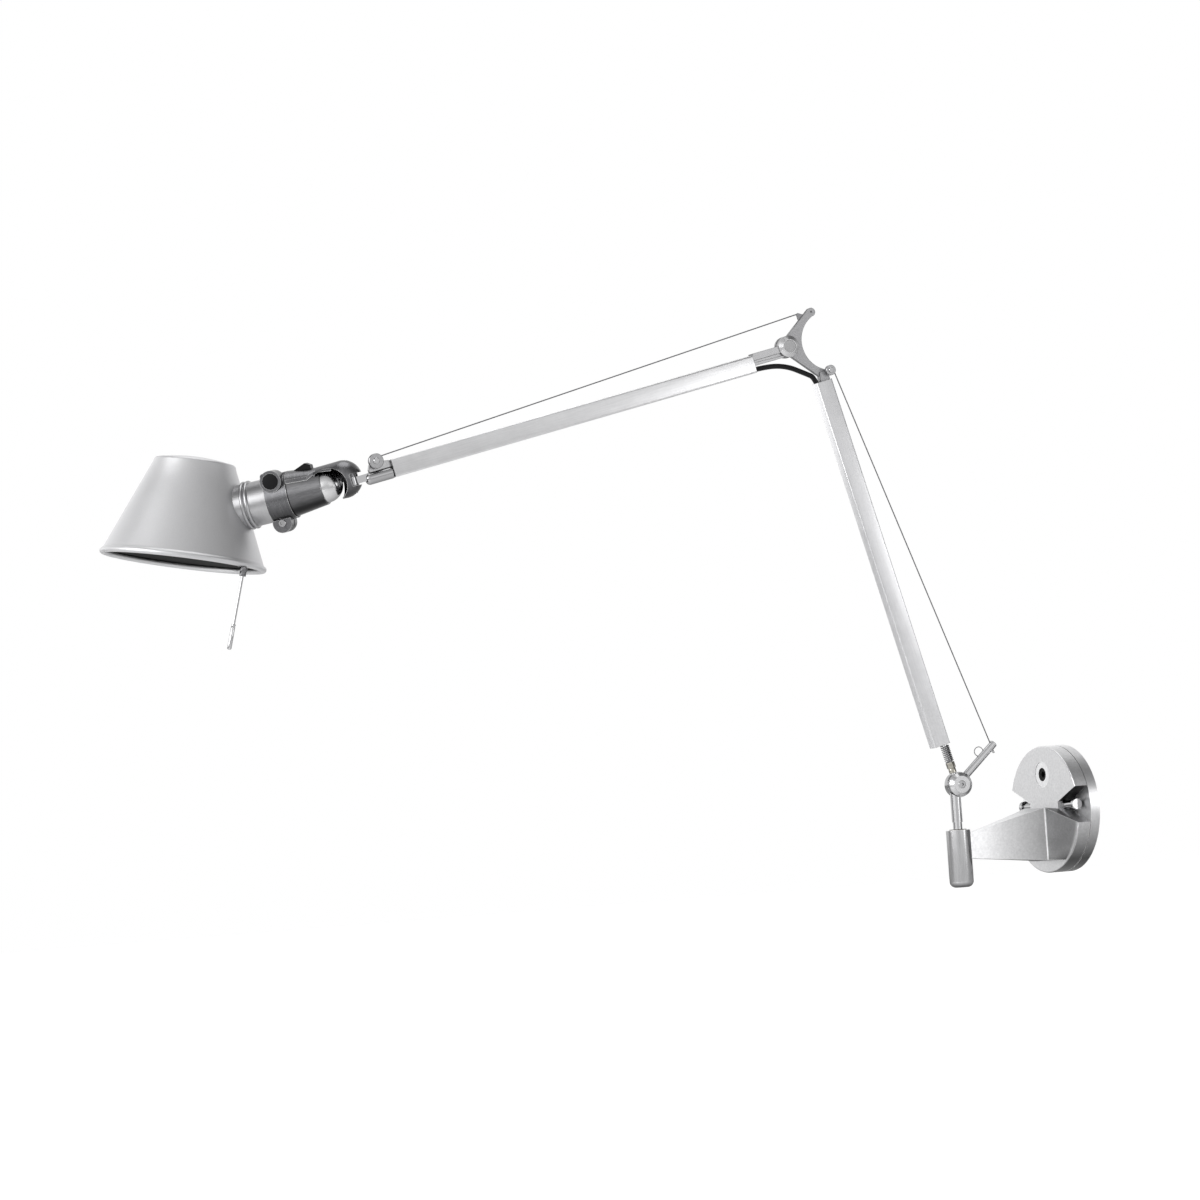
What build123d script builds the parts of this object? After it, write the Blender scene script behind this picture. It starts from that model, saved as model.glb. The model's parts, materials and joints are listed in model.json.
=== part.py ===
from build123d import *
import math
import os

# Spring-balanced wall lamp with two square-tube arms. Millimetres.
# Origin: centre of the wall plate's rear face. +X runs into the wall, +Z is up,
# and the lamp reaches out along -X. Every sub-part is drawn in the local frame of
# what carries it: local x runs out along the arm or head, local z is up across it
# and local y points to the lamp's front side.

# ---- running fits and gaps ----
running_fit = 0.05        # radial, shaft in bore
side_gap = 0.3            # between faces that turn past each other

# ---- wall plate and bracket ----
plate_radius = 72.0
plate_thickness = 12.0
face_thickness = 16.2     # the hinged front disc
edge_round = 1.4
level_range = 0.5         # degrees either way
hinge_height = 3.9
hinge_setback = 8.0       # hinge axis in front of the front disc's rear face
hinge_bolt_radius = 4.2
hinge_bolt_reach = 53.0   # half length under the heads
bolt_head_radius = 6.6
bolt_head_height = 5.0
waist_half_width = 29.5
notch_root_height = 7.8
notch_slope = 23.0        # degrees
lug_half_gap = 9.0
lug_width = 9.0
lug_wall = 1.9
wall_hole_radius = 2.75
wall_hole_circle = 92.0   # diameter
wall_screw_head_radius = 5.5
bracket_reach = 144.0     # wall to swivel axis
arm_rise = 2.2            # top of the arm's foot above the disc's centre
arm_rise_angle = 14.3     # degrees, top edge
arm_drop = 59.5           # underside at the disc
arm_drop_angle = 5.1      # degrees, bottom edge
ridge_half_width = 21.5
ridge_setout = 13.5       # ridge in front of the disc's face
neck_half_width = 6.5     # arm beside the socket
flank_half_width = 9.5    # arm halfway along
flare_inset = 2.6         # bright rim left round the flare
cable_entry_radius = 6.0
cable_entry_drop = 24.0
levelling_hole_radius = 7.6
levelling_height = 39.6
levelling_ring_radius = 14.6
levelling_ring_depth = 0.5
levelling_screw_sink = 1.6
levelling_key_radius = 4.0
levelling_key_depth = 7.0
socket_radius = 13.65
socket_top = -16.0
socket_length = 64.5
socket_round = 7.0
bush_radius = 8.0
bush_length = 50.0
bush_flange_radius = 9.6
bush_flange_height = 0.9

# ---- stem and lower joint ----
swing_rest = 9.0          # degrees that the arms stand off the wall's normal
stem_radius = 5.2
stem_collar_radius = 6.0
stem_collar_height = 8.0
stem_depth = 48.0         # below the socket's top
joint_height = 34.8
joint_offset = 5.5        # lower joint behind the swivel axis
rear_disc_radius = 14.5
rear_disc_thickness = 8.8
front_disc_radius = 13.5
front_disc_thickness = 9.2
cap_bevel = 3.8
joint_screw_radius = 3.0
joint_head_radius = 4.2
joint_head_height = 2.4
joint_key_radius = 2.1
lever_radius = 4.3
lever_shank_radius = 3.0
lever_shank_depth = 7.0   # from the joint's centre
lever_length = 65.0
lever_rest = 62.0         # degrees from the lower arm
wire_eye_radius = 5.2
wire_eye_place = 45.0     # along the lever
wire_anchor_place = 57.0  # along the lever

# ---- square tubes ----
tube_height = 20.0
tube_width = 17.0
tube_wall = 1.3
tube_corner = 2.2
wire_radius = 0.7

# ---- lower arm ----
lower_rest = 75.25        # degrees above level at rest
lower_tube_start = 48.5
lower_tube_length = 430.0
lower_tube_drop = 7.4     # tube's centre line in front of the joint
rod_drop = 3.2
rod_side = 2.0
rod_radius = 2.6
rod_tail = 72.0
ferrule_start = 15.0
ferrule_length = 12.5
ferrule_flats = 4.5
spring_radius = 4.5       # to the wire's centre
spring_wire = 0.65
spring_curls = 9
spring_pitch = 2.1
hub_reach = 48.9          # hub beyond the tube's end
hub_drop = 34.9

# ---- elbow bracket, placed from the hub in the lower arm's frame ----
bracket_half_thickness = 3.0
bracket_boss_radius = 11.6
upper_limb_x = 28.8
upper_limb_z = 39.8
limb_tip_radius = 4.9
tip_hole_radius = 1.2
limb_root_reach = 7.9     # lower limb's end, beyond the tube's end
limb_root_rise = 4.0      # and above the tube's centre line
lower_limb_half_width = 5.6
waist_x = -2.0
waist_z = 17.6
foot_height = 10.5        # foot above the tube's end
foot_half_width = 5.0
foot_depth = 18.0
roller_radius = 5.8
roller_groove_radius = 2.6
roller_width = 5.5
roller_reach = 9.2        # roller beyond the tube's end
roller_rise = 3.3
roller_screw_radius = 2.9
roller_screw_height = 1.4
roller_pin_radius = 1.8
hook_reach = 9.5
hook_height = 12.5
hook_thickness = 2.4
hook_seat = 2.5           # how far the hook sinks into the limb
hook_place = 36.6         # along the upper limb from the hub

# ---- upper arm ----
upper_rest = 12.9         # degrees that it droops at rest
upper_tube_start = 45.0
upper_tube_length = 436.0
upper_tube_drop = 8.2     # tube's centre line below the hub
cheek_thickness = 3.6
hub_disc_radius = 12.1
hub_cap_height = 4.4
hub_cap_face_radius = 7.1
hub_pin_radius = 4.0
fork_bar_rise = 3.4
fork_bar_drop = 4.5
fork_groove_drop = 6.8
fork_flange_drop = 10.4
fork_web_thickness = 1.2
fork_root_depth = 24.0
pulley_reach = 16.2       # pulley beyond the tube's end
pulley_rise = 4.6
pulley_radius = 8.3
pulley_groove_radius = 2.6
pulley_width = 5.2
pulley_side = 3.6         # inner face of the pulley
pulley_pin_radius = 2.0
pulley_head_radius = 3.4
pulley_head_height = 1.6
bridge_reach = 25.5       # beyond the tube's end
bridge_top = 1.8
bridge_half_width = 3.2
pulley_eye_radius = 4.6
end_plug_depth = 20.0
cable_radius = 2.8
cable_depth = 20.0        # inside each tube
cable_wall_gap = 0.15

# ---- swivel neck and head pivot ----
neck_radius = 6.7
neck_drop = 12.0          # neck's axis below the hub
neck_reach = 31.5         # nose beyond the tube's end
neck_nose_round = 4.6
neck_shank_radius = 3.8
neck_shank_length = 16.0
pivot_reach = 14.7        # head's pivot beyond the nose
tang_radius = 5.6
tang_half_width = 3.6
tang_half_height = 4.0
tang_drop = 1.5           # tang's middle below the head's axis
head_pin_radius = 2.5

# ---- head ----
head_yaw_rest = 31.0      # degrees to the lamp's rear side
head_lift = 2.6           # degrees that the head's axis rises from the pivot
hood_radius = 20.8
hood_wall = 2.0
hood_centre = 9.0
hood_rise = 3.2
hood_end = 36.0
hood_end_radius = 19.8
hood_slot_half_height = 6.8
hood_slot_end = -3.0      # the slot's sides, on the hood's own axis
hood_window_x = 23.0
hood_window_half_length = 22.0
hood_window_half_height = 18.6
dome_start = 31.0
dome_length = 19.6
dome_radius = 17.8
housing_end = 68.0
housing_rear_radius = 19.4
housing_front_radius = 24.0
housing_wall = 2.0
strap_start = 18.0
strap_thickness = 2.6
strap_half_angle = 50.0   # degrees at the clamp
strap_rear_half_width = 9.0
strap_shoulder = 44.0     # where the strap starts to narrow towards the hood
clamp_start = 68.4
clamp_width = 25.6
clamp_thickness = 2.3
clamp_split_half = 1.4
lug_along = 85.0
lug_drop = 27.2
lug_radius = 10.8
lug_half_span = 11.0
clamp_screw_radius = 2.2
clamp_head_radius = 4.2
clamp_head_height = 1.8
boss_along = 83.0
boss_rise = 19.6
boss_radius = 11.9
boss_corner = 9.4         # flat that the boss has at its upper outer side
boss_front = 25.3
boss_depth = 19.0
button_radius = 8.8
button_length = 3.5
button_proud = 1.2
button_travel = 1.5
inlet_along = 50.0
inlet_length = 19.0
inlet_height = 6.0
inlet_width = 11.0
holder_radius = 19.0
holder_bore = 13.6
holder_start = 50.0
holder_length = 66.0
holder_bore_depth = 34.0

# ---- shade ----
neck_spigot_radius = 23.4
shade_neck_radius = 24.5
shade_neck_wall = 2.0
shade_neck_end = 94.4
spigot_length = 13.0
bead_radius = 2.1
shade_roll = 11.0         # degrees round the neck, mouth to the front
shade_tilt = 18.5         # degrees, shade axis from the head's up
rim_along = 206.7
rim_drop = 44.9
rim_radius = 90.2         # cone's outside, level with the bead's centre
rim_bead_radius = 3.4
rim_bead_inset = 1.7      # bead's centre inside the cone's outside
shade_height = 112.9
top_radius = 44.8
top_crown = 4.6
top_round = 3.5
shade_wall = 1.5
handle_angle = 21.6       # degrees round the rim from the neck's side
handle_lean = 4.3         # degrees, its end towards the mouth's middle
handle_radius = 1.5
handle_length = 89.2
handle_socket = 1.0       # rod in the rim
grip_radius = 2.4
grip_length = 28.0
handle_nut_radius = 4.6
handle_nut_height = 5.0


# ---- places along the arms ----
lower_tube_end = lower_tube_start + lower_tube_length
upper_tube_end = upper_tube_start + upper_tube_length
hub_along = lower_tube_end + hub_reach
roller_along = lower_tube_end + roller_reach
pulley_along = upper_tube_end + pulley_reach
head_along = upper_tube_end + neck_reach + pivot_reach


# ---- frames ----
def tilt(direction_deg):
    """Turns a local frame so that its x rises by this angle in its x-z plane."""
    return Rot(0, -direction_deg, 0)


hinge_x = -(plate_thickness + side_gap + hinge_setback)
lever_side = -(side_gap / 2 + rear_disc_thickness / 2)
roller_side = foot_half_width + 0.2     # inner face of the roller
stem_frame = Pos(-bracket_reach, 0, 0) * Rot(0, 0, 180 - swing_rest)
joint_frame = stem_frame * Pos(-joint_offset, 0, joint_height)
lower_frame = joint_frame * tilt(lower_rest)
hub_frame = lower_frame * Pos(hub_along, 0, -hub_drop)
upper_frame = hub_frame * tilt(-lower_rest - upper_rest)
pivot_frame = upper_frame * Pos(head_along, 0, -upper_tube_drop) * Rot(0, 0, -head_yaw_rest)
head_frame = pivot_frame * tilt(head_lift)
neck_frame = head_frame * Rot(shade_roll, 0, 0)
shade_frame = neck_frame * Pos(rim_along, 0, -rim_drop) * Rot(0, -shade_tilt, 0)

parts = {}


# ---- drawing helpers ----
def slab(sketch, y_low, y_high):
    """A sketch drawn in x-z, as a plate between two values of y."""
    return Pos(0, y_high, 0) * extrude(Plane.XZ * sketch, y_high - y_low, dir=(0, -1, 0))


def along_x(radius, x_low, x_high, y=0.0, z=0.0):
    return Pos((x_low + x_high) / 2, y, z) * Rot(0, 90, 0) * Cylinder(radius, x_high - x_low)


def along_y(radius, y_low, y_high, x=0.0, z=0.0):
    return Pos(x, (y_low + y_high) / 2, z) * Rot(90, 0, 0) * Cylinder(radius, y_high - y_low)


def block(x_low, x_high, y_low, y_high, z_low, z_high):
    size = (x_high - x_low, y_high - y_low, z_high - z_low)
    centre = ((x_low + x_high) / 2, (y_low + y_high) / 2, (z_low + z_high) / 2)
    return Pos(*centre) * Box(*size)


def turned_x(points):
    """A closed outline of (x, radius) points, turned about the local x axis."""
    outline = make_face(Polyline(*[(x, 0, r) for x, r in points], close=True))
    return revolve(outline, Axis.X)


def square_tube(start, length, drop):
    outer = RectangleRounded(tube_width, tube_height, tube_corner)
    bore = RectangleRounded(tube_width - 2 * tube_wall, tube_height - 2 * tube_wall, tube_corner - tube_wall)
    wall = extrude(Plane.YZ * (outer - bore), length)
    return Pos(start, 0, -drop) * wall


def tube_plug(start, end, drop):
    fit = tube_wall + running_fit
    corner = tube_corner - tube_wall
    face = RectangleRounded(tube_width - 2 * fit, tube_height - 2 * fit, corner)
    return Pos(start, 0, -drop) * extrude(Plane.YZ * face, end - start)


def tube_sweep(path, radius):
    profile = Plane(origin=path @ 0, z_dir=path % 0) * Circle(radius)
    return sweep(profile, path)


# ---- wall plate and bracket ----
def wall_plate():
    lean = math.tan(math.radians(level_range + 0.05))
    reach = plate_radius + 2
    front_top = -plate_thickness + (reach - hinge_height) * lean
    front_low = -plate_thickness + (reach + hinge_height) * lean
    side = Polygon(
        (0, -reach), (0, reach), (front_top, reach), (-plate_thickness, hinge_height), (front_low, -reach),
        align=None,
    )
    disc = along_x(plate_radius, -plate_thickness, 0) & slab(side, -reach, reach)
    lug_radius_outer = hinge_bolt_radius + running_fit + lug_wall
    for side_sign in (-1, 1):
        near, far = sorted((side_sign * lug_half_gap, side_sign * (lug_half_gap + lug_width)))
        disc += along_y(lug_radius_outer, near, far, hinge_x, hinge_height)
        disc += block(hinge_x, -1, near, far, hinge_height - lug_radius_outer, hinge_height + lug_radius_outer)
    disc -= along_y(hinge_bolt_radius + running_fit, -reach, reach, hinge_x, hinge_height)
    for hole in range(3):
        turn = math.radians(90 + 180 + hole * 120)
        y, z = wall_hole_circle / 2 * math.cos(turn), wall_hole_circle / 2 * math.sin(turn)
        disc -= along_x(wall_hole_radius, -plate_thickness - 1, 1, y, z)
        disc -= along_x(wall_screw_head_radius, -plate_thickness - 1, -plate_thickness + 4.5, y, z)
    return disc - along_x(cable_entry_radius, -plate_thickness - 1, 1, 0, -cable_entry_drop)


def bracket_plan(ridge_x):
    """The arm's plan from the socket to the ridge, symmetric about the middle."""
    start_x = -bracket_reach + 6
    middle_x = (start_x + ridge_x) / 2
    edges = [
        Line((ridge_x, 0), (start_x, 0)),
        Line((start_x, 0), (start_x, neck_half_width)),
        ThreePointArc((start_x, neck_half_width), (middle_x, flank_half_width), (ridge_x, ridge_half_width)),
        Line((ridge_x, ridge_half_width), (ridge_x, 0)),
    ]
    half = make_face(edges)
    return half + mirror(half, Plane.XZ)


def arm_low(x):
    """Height of the arm's underside at a distance x from the wall."""
    return -arm_drop - (plate_thickness + side_gap + x) * math.tan(math.radians(arm_drop_angle))


def flare(face, ridge_x):
    """The foot between the ridge and the disc's front face, where it spreads almost to the disc's edge."""
    circle = plate_radius - flare_inset
    root_z = hinge_height - notch_root_height / 2
    slope = math.tan(math.radians(notch_slope))
    # The notch's lower side meets the circle where (y, root_z - (y - waist) * slope) lies on it.
    start_z = root_z + waist_half_width * slope
    square = 1 + slope * slope
    corner_y = (start_z * slope + math.sqrt(circle * circle * square - start_z * start_z)) / square
    corner = (corner_y, start_z - corner_y * slope)
    low_z = arm_low(face)
    low = (math.sqrt(circle * circle - low_z * low_z), low_z)
    turn = (math.atan2(corner[1], corner[0]) + math.atan2(low[1], low[0])) / 2
    middle = (circle * math.cos(turn), circle * math.sin(turn))

    def flip(point):
        return -point[0], point[1]

    far = [
        Line(flip(corner), corner), ThreePointArc(corner, middle, low),
        Line(low, flip(low)), ThreePointArc(flip(low), flip(middle), flip(corner)),
    ]
    near_middle = (arm_rise + arm_low(ridge_x)) / 2
    near = Pos(0, near_middle) * Rectangle(2 * ridge_half_width, arm_rise - arm_low(ridge_x))
    near_face = Pos(ridge_x, 0, 0) * (Plane.YZ * near)
    far_face = Pos(face, 0, 0) * (Plane.YZ * make_face(far))
    spread = loft([near_face, far_face], ruled=True)
    ridge = [Vector(ridge_x, sign * ridge_half_width, arm_rise) for sign in (-1, 1)]
    root = [Vector(face, sign * waist_half_width, root_z) for sign in (-1, 1)]
    edge = [Vector(face, sign * corner[0], corner[1]) for sign in (-1, 1)]
    outlines = [
        (ridge[0], ridge[1], root[1], root[0]), (ridge[0], root[0], edge[0]), (ridge[1], edge[1], root[1]),
        (root[0], root[1], edge[1], edge[0]), (ridge[0], edge[0], edge[1], ridge[1]),
    ]
    wedge = Solid(Shell([Face(Wire.make_polygon(outline)) for outline in outlines]))
    return spread + wedge


def bracket_arm():
    rear = -(plate_thickness + side_gap)
    face = rear - face_thickness
    ridge_x = face - ridge_setout
    disc = along_x(plate_radius, face, rear)
    disc = fillet(disc.edges().filter_by(GeomType.CIRCLE).sort_by(Axis.X)[0], edge_round)
    disc -= notches(rear, face)
    foot = Pos(0, 0, -arm_drop - 10) * extrude(bracket_plan(ridge_x), arm_drop + 30, dir=(0, 0, 1))
    rise = math.tan(math.radians(arm_rise_angle))
    far_x = -bracket_reach
    side = Polygon(
        (far_x, arm_rise - (ridge_x - far_x) * rise), (ridge_x, arm_rise),
        (ridge_x, arm_low(ridge_x)), (far_x, arm_low(far_x)), align=None,
    )
    foot = foot & slab(side, -plate_radius, plate_radius)
    socket = Pos(-bracket_reach, 0, socket_top - socket_length / 2) * Cylinder(socket_radius, socket_length)
    socket = fillet(socket.edges().group_by(Axis.Z)[0], socket_round)
    body = disc + flare(face, ridge_x) + foot + socket
    pocket_y = lug_half_gap - side_gap
    pocket_end = lug_half_gap + lug_width + side_gap
    pocket_reach = hinge_bolt_radius + running_fit + lug_wall + side_gap
    for side_sign in (-1, 1):
        near, far = sorted((side_sign * pocket_y, side_sign * pocket_end))
        tall = pocket_reach + 1.0
        body -= block(hinge_x - pocket_reach, rear + 1, near, far, hinge_height - tall, hinge_height + tall)
    body -= along_y(hinge_bolt_radius + running_fit, -plate_radius, plate_radius, hinge_x, hinge_height)
    body -= along_x(levelling_hole_radius, face - 1, rear + 1, 0, levelling_height)
    body -= along_x(levelling_ring_radius, face - 1, face + levelling_ring_depth, 0, levelling_height)
    bore = Pos(-bracket_reach, 0, socket_top - bush_length / 2) * Cylinder(bush_radius, bush_length)
    return body - bore


def notches(rear, face):
    """The two side openings that clear the hinge bolt's heads."""
    reach = plate_radius + 10
    spread = notch_root_height / 2 + (reach - waist_half_width) * math.tan(math.radians(notch_slope))
    low, high = hinge_height - spread, hinge_height + spread
    root = (hinge_height - notch_root_height / 2, hinge_height + notch_root_height / 2)
    wedge = Polygon(
        (waist_half_width, root[0]), (reach, low), (reach, high), (waist_half_width, root[1]), align=None
    )
    both = wedge + mirror(wedge, Plane.YZ)
    return Pos(rear + 1, 0, 0) * extrude(Plane.YZ * both, rear - face + 2, dir=(-1, 0, 0))


def hinge_hardware():
    at = (hinge_x, hinge_height)
    bolt = along_y(hinge_bolt_radius, -hinge_bolt_reach, hinge_bolt_reach, *at)
    head = along_y(bolt_head_radius, -hinge_bolt_reach - bolt_head_height, -hinge_bolt_reach, *at)
    head = chamfer(head.edges().filter_by(GeomType.CIRCLE), 0.8)
    nut = along_y(bolt_head_radius, hinge_bolt_reach, hinge_bolt_reach + bolt_head_height, *at)
    nut = chamfer(nut.edges().filter_by(GeomType.CIRCLE), 0.8)
    parts["hinge_bolt"] = bolt + head
    parts["hinge_nut"] = nut


def levelling_screw():
    face = -(plate_thickness + side_gap + face_thickness)
    front = face + levelling_screw_sink
    rear = -(plate_thickness + side_gap)
    screw = along_x(levelling_hole_radius - running_fit, front, rear, 0, levelling_height)
    key = Pos(front, 0, levelling_height) * extrude(
        Plane.YZ * RegularPolygon(levelling_key_radius, 6), levelling_key_depth
    )
    return screw - key


def socket_bush():
    bore = stem_radius + running_fit
    sleeve = Pos(0, 0, socket_top - bush_length / 2) * Cylinder(bush_radius - 0.02, bush_length)
    flange = Pos(0, 0, socket_top + bush_flange_height / 2) * Cylinder(bush_flange_radius, bush_flange_height)
    through = Pos(0, 0, socket_top - bush_length / 2) * Cylinder(bore, bush_length * 2)
    return Pos(-bracket_reach, 0, 0) * (sleeve + flange - through)


# ---- stem and lower joint ----
def stem():
    low, high = socket_top - stem_depth, joint_height
    rod = Pos(0, 0, (low + high) / 2) * Cylinder(stem_radius, high - low)
    collar_top = joint_height
    collar_low = socket_top + bush_flange_height + stem_collar_height
    collar = Pos(0, 0, (collar_low + collar_top) / 2) * Cylinder(stem_collar_radius, collar_top - collar_low)
    body = rod + collar
    at = (-joint_offset, joint_height)
    body -= along_y(front_disc_radius + 1.0, -side_gap / 2, 40, *at)
    disc = along_y(rear_disc_radius, -side_gap / 2 - rear_disc_thickness, -side_gap / 2, *at)
    disc = fillet(disc.edges().sort_by(Axis.Y)[0], 1.2)
    body = body - along_y(rear_disc_radius, -40, -side_gap / 2, *at) + disc
    body -= along_y(joint_screw_radius, -40, 40, *at)
    shank = Rot(0, -lever_rest - lower_rest, 0) * along_x(lever_shank_radius, lever_shank_depth, 40, lever_side)
    return stem_frame * (body - Pos(-joint_offset, 0, joint_height) * shank)


def tension_lever():
    rod = along_x(lever_radius, rear_disc_radius + 0.2, lever_length, lever_side)
    rod = chamfer(rod.edges().filter_by(GeomType.CIRCLE), 0.7)
    shank = along_x(lever_shank_radius, lever_shank_depth, rear_disc_radius + 1, lever_side)
    hole = Pos(wire_anchor_place, lever_side, 0) * Cylinder(wire_radius + running_fit, 4 * lever_radius)
    return joint_frame * Rot(0, -lever_rest - lower_rest, 0) * (rod + shank - hole)


def wire_eye():
    """The wire's tail, turned back as a ring beside the lever."""
    ring = Pos(wire_eye_place, lever_side, -lever_radius - wire_eye_radius + 2.6) * Rot(90, 0, 0)
    ring = ring * Torus(wire_eye_radius, wire_radius * 0.7)
    lever_body = along_x(lever_radius, 0, lever_length, lever_side)
    return joint_frame * Rot(0, -lever_rest - lower_rest, 0) * (ring - lever_body)


def joint_screw():
    face = side_gap / 2 + front_disc_thickness
    at_head = face - joint_head_height
    shaft = along_y(joint_screw_radius, -side_gap / 2 - rear_disc_thickness, at_head)
    head = along_y(joint_head_radius, at_head, face + 0.4)
    head = chamfer(head.edges().sort_by(Axis.Y)[-1], 0.4)
    key = Pos(0, face + 1, 0) * extrude(Plane.XZ * RegularPolygon(joint_key_radius, 6), 2.4)
    return joint_frame * (shaft + head - key)


# ---- lower arm ----
def rod_end():
    face = side_gap / 2 + front_disc_thickness
    disc = along_y(front_disc_radius, side_gap / 2, face)
    disc = chamfer(disc.edges().sort_by(Axis.Y)[-1], cap_bevel)
    disc = fillet(disc.edges().sort_by(Axis.Y)[0], 0.8)
    rod = along_x(rod_radius, 6, rod_tail, rod_side, -rod_drop)
    swing = rear_disc_radius + side_gap
    rod -= block(0, swing, -swing, side_gap / 2, -swing, swing)
    body = disc + rod
    body -= along_y(joint_screw_radius + running_fit, -40, 40)
    body -= along_y(joint_head_radius + running_fit, face - joint_head_height, 40)
    return lower_frame * body


def ferrule():
    nut = Pos(ferrule_start, rod_side, -rod_drop) * extrude(
        Plane.YZ * RegularPolygon(ferrule_flats, 6, major_radius=False), ferrule_length
    )
    step = along_x(ferrule_flats - 0.3, ferrule_start, ferrule_start + ferrule_length, rod_side, -rod_drop)
    waist = ferrule_start + ferrule_length * 0.45
    nut = nut & block(waist, rod_tail, -tube_width, tube_width, -tube_height, tube_height)
    return lower_frame * (nut + step - along_x(rod_radius, 0, rod_tail, rod_side, -rod_drop))


def biarc(start, start_dir, end, end_dir):
    """Two arcs that leave start and reach end along the given unit directions."""
    chord = end - start
    both = start_dir + end_dir
    flat = 2 * (1 - start_dir.dot(end_dir))
    reach = (-chord.dot(both) + math.sqrt(chord.dot(both) ** 2 + flat * chord.dot(chord))) / flat
    first, second = start + start_dir * reach, end - end_dir * reach
    join = (first + second) / 2
    arcs = []
    for low, corner, high in ((start, first, join), (join, second, end)):
        half = math.radians((corner - low).get_angle(high - low))
        weight = math.cos(half)
        middle = (low + corner * 2 * weight + high) / (2 + 2 * weight)
        arcs.append(ThreePointArc(low, middle, high))
    return arcs


def base_spring():
    rise = spring_pitch / (2 * math.pi * spring_radius)
    scale = math.sqrt(1 + rise * rise)
    start_x = ferrule_start + ferrule_length + spring_wire + 0.1
    places, directions = [], []
    for quarter in range(4 * spring_curls + 1):
        turn = quarter * math.pi / 2
        places.append(
            Vector(start_x + spring_pitch * quarter / 4, spring_radius * math.cos(turn), spring_radius * math.sin(turn))
        )
        directions.append(Vector(rise, -math.sin(turn), math.cos(turn)) / scale)
    tail = 2 * spring_wire
    edges = [Line(places[0] - directions[0] * tail, places[0])]
    for step in range(4 * spring_curls):
        edges += biarc(places[step], directions[step], places[step + 1], directions[step + 1])
    edges.append(Line(places[-1], places[-1] + directions[-1] * tail))
    print("base spring: curls", spring_curls, "least gap", round(spring_pitch / scale - 2 * spring_wire, 2))
    coil = tube_sweep(Wire(edges), spring_wire)
    return lower_frame * Pos(0, rod_side, -rod_drop) * coil


def lower_plug():
    plug = tube_plug(lower_tube_start + 2, rod_tail - 6, lower_tube_drop)
    plug -= along_x(rod_radius, 0, rod_tail, rod_side, -rod_drop)
    return lower_frame * plug


def limb_tip():
    return hub_along + upper_limb_x, -hub_drop + upper_limb_z


def elbow_bracket():
    hub = (hub_along, -hub_drop)
    tip = limb_tip()
    low = (lower_tube_end + limb_root_reach, -lower_tube_drop + limb_root_rise)
    waist = (hub_along + waist_x, -hub_drop + waist_z)
    limb = math.atan2(upper_limb_z, upper_limb_x)
    side = (math.sin(limb) * limb_tip_radius, -math.cos(limb) * limb_tip_radius)
    low_turn = math.atan2(low[1] - hub[1], low[0] - hub[0])
    low_side = (-math.sin(low_turn) * lower_limb_half_width, math.cos(low_turn) * lower_limb_half_width)
    boss_left = (hub[0] + side[0] * 1.6, hub[1] + side[1] * 1.6)
    boss_low = (hub[0] + low_side[0] * 1.2, hub[1] + low_side[1] * 1.2)
    tip_back = (tip[0] - side[0], tip[1] - side[1])
    low_back = (low[0] - low_side[0], low[1] - low_side[1])
    outline = [
        Line((tip[0] + side[0], tip[1] + side[1]), boss_left),
        Line(boss_left, boss_low),
        Line(boss_low, (low[0] + low_side[0], low[1] + low_side[1])),
        Line((low[0] + low_side[0], low[1] + low_side[1]), low_back),
        ThreePointArc(low_back, waist, tip_back),
        Line(tip_back, (tip[0] + side[0], tip[1] + side[1])),
    ]
    face = make_face(outline)
    face += Pos(*tip) * Circle(limb_tip_radius) + Pos(*hub) * Circle(bracket_boss_radius)
    plate = slab(face, -bracket_half_thickness, bracket_half_thickness)
    tube_end = lower_tube_end
    foot_low = -lower_tube_drop - tube_height / 2 + tube_wall + 2 * cable_radius + 2 * cable_wall_gap
    foot_high = -lower_tube_drop + tube_height / 2 - tube_wall - running_fit
    foot_outline = Polygon(
        (tube_end - foot_depth, foot_low), (tube_end + 1, foot_low), (tube_end + foot_height, foot_low + 2),
        (tube_end + foot_height, foot_high), (tube_end - foot_depth, foot_high), align=None,
    )
    foot = slab(foot_outline, -foot_half_width, foot_half_width)
    body = plate + foot
    body -= along_y(hub_pin_radius + running_fit, -40, 40, *hub)
    body -= along_y(tip_hole_radius, -40, 40, *tip)
    body -= along_y(roller_pin_radius, -40, 40, roller_along, roller_rise)
    slot_x = hub_along + math.cos(limb) * hook_place
    slot_z = -hub_drop + math.sin(limb) * hook_place
    body -= Pos(slot_x, 0, slot_z) * Rot(0, -math.degrees(limb), 0) * hook_slot()
    return lower_frame * body


def hook_slot():
    half = hook_thickness / 2 + running_fit
    return block(-hook_height, hook_height, -half, half, -20, -limb_tip_radius + hook_seat)


def grooved_wheel(outer, groove, width, bore):
    rim = (width - 2 * wire_radius) / 2 - 0.4
    half = make_face(Polyline(
        (bore, 0), (outer, 0), (outer, rim - 0.5), (groove, rim), (groove, width - rim), (outer, width - rim + 0.5),
        (outer, width), (bore, width),
        close=True,
    ))
    wheel = revolve(Plane.XY * half, Axis.Y)
    return wheel


def wire_roller():
    wheel = grooved_wheel(roller_radius, roller_groove_radius, roller_width, roller_pin_radius + running_fit)
    front = roller_side
    return lower_frame * Pos(roller_along, front, roller_rise) * wheel


def roller_screw():
    front = roller_side + roller_width + 0.1
    pin = along_y(roller_pin_radius, -bracket_half_thickness, front, roller_along, roller_rise)
    head = along_y(roller_screw_radius, front, front + roller_screw_height, roller_along, roller_rise)
    head = chamfer(head.edges().sort_by(Axis.Y)[-1], 0.5)
    return lower_frame * (pin + head)


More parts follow.
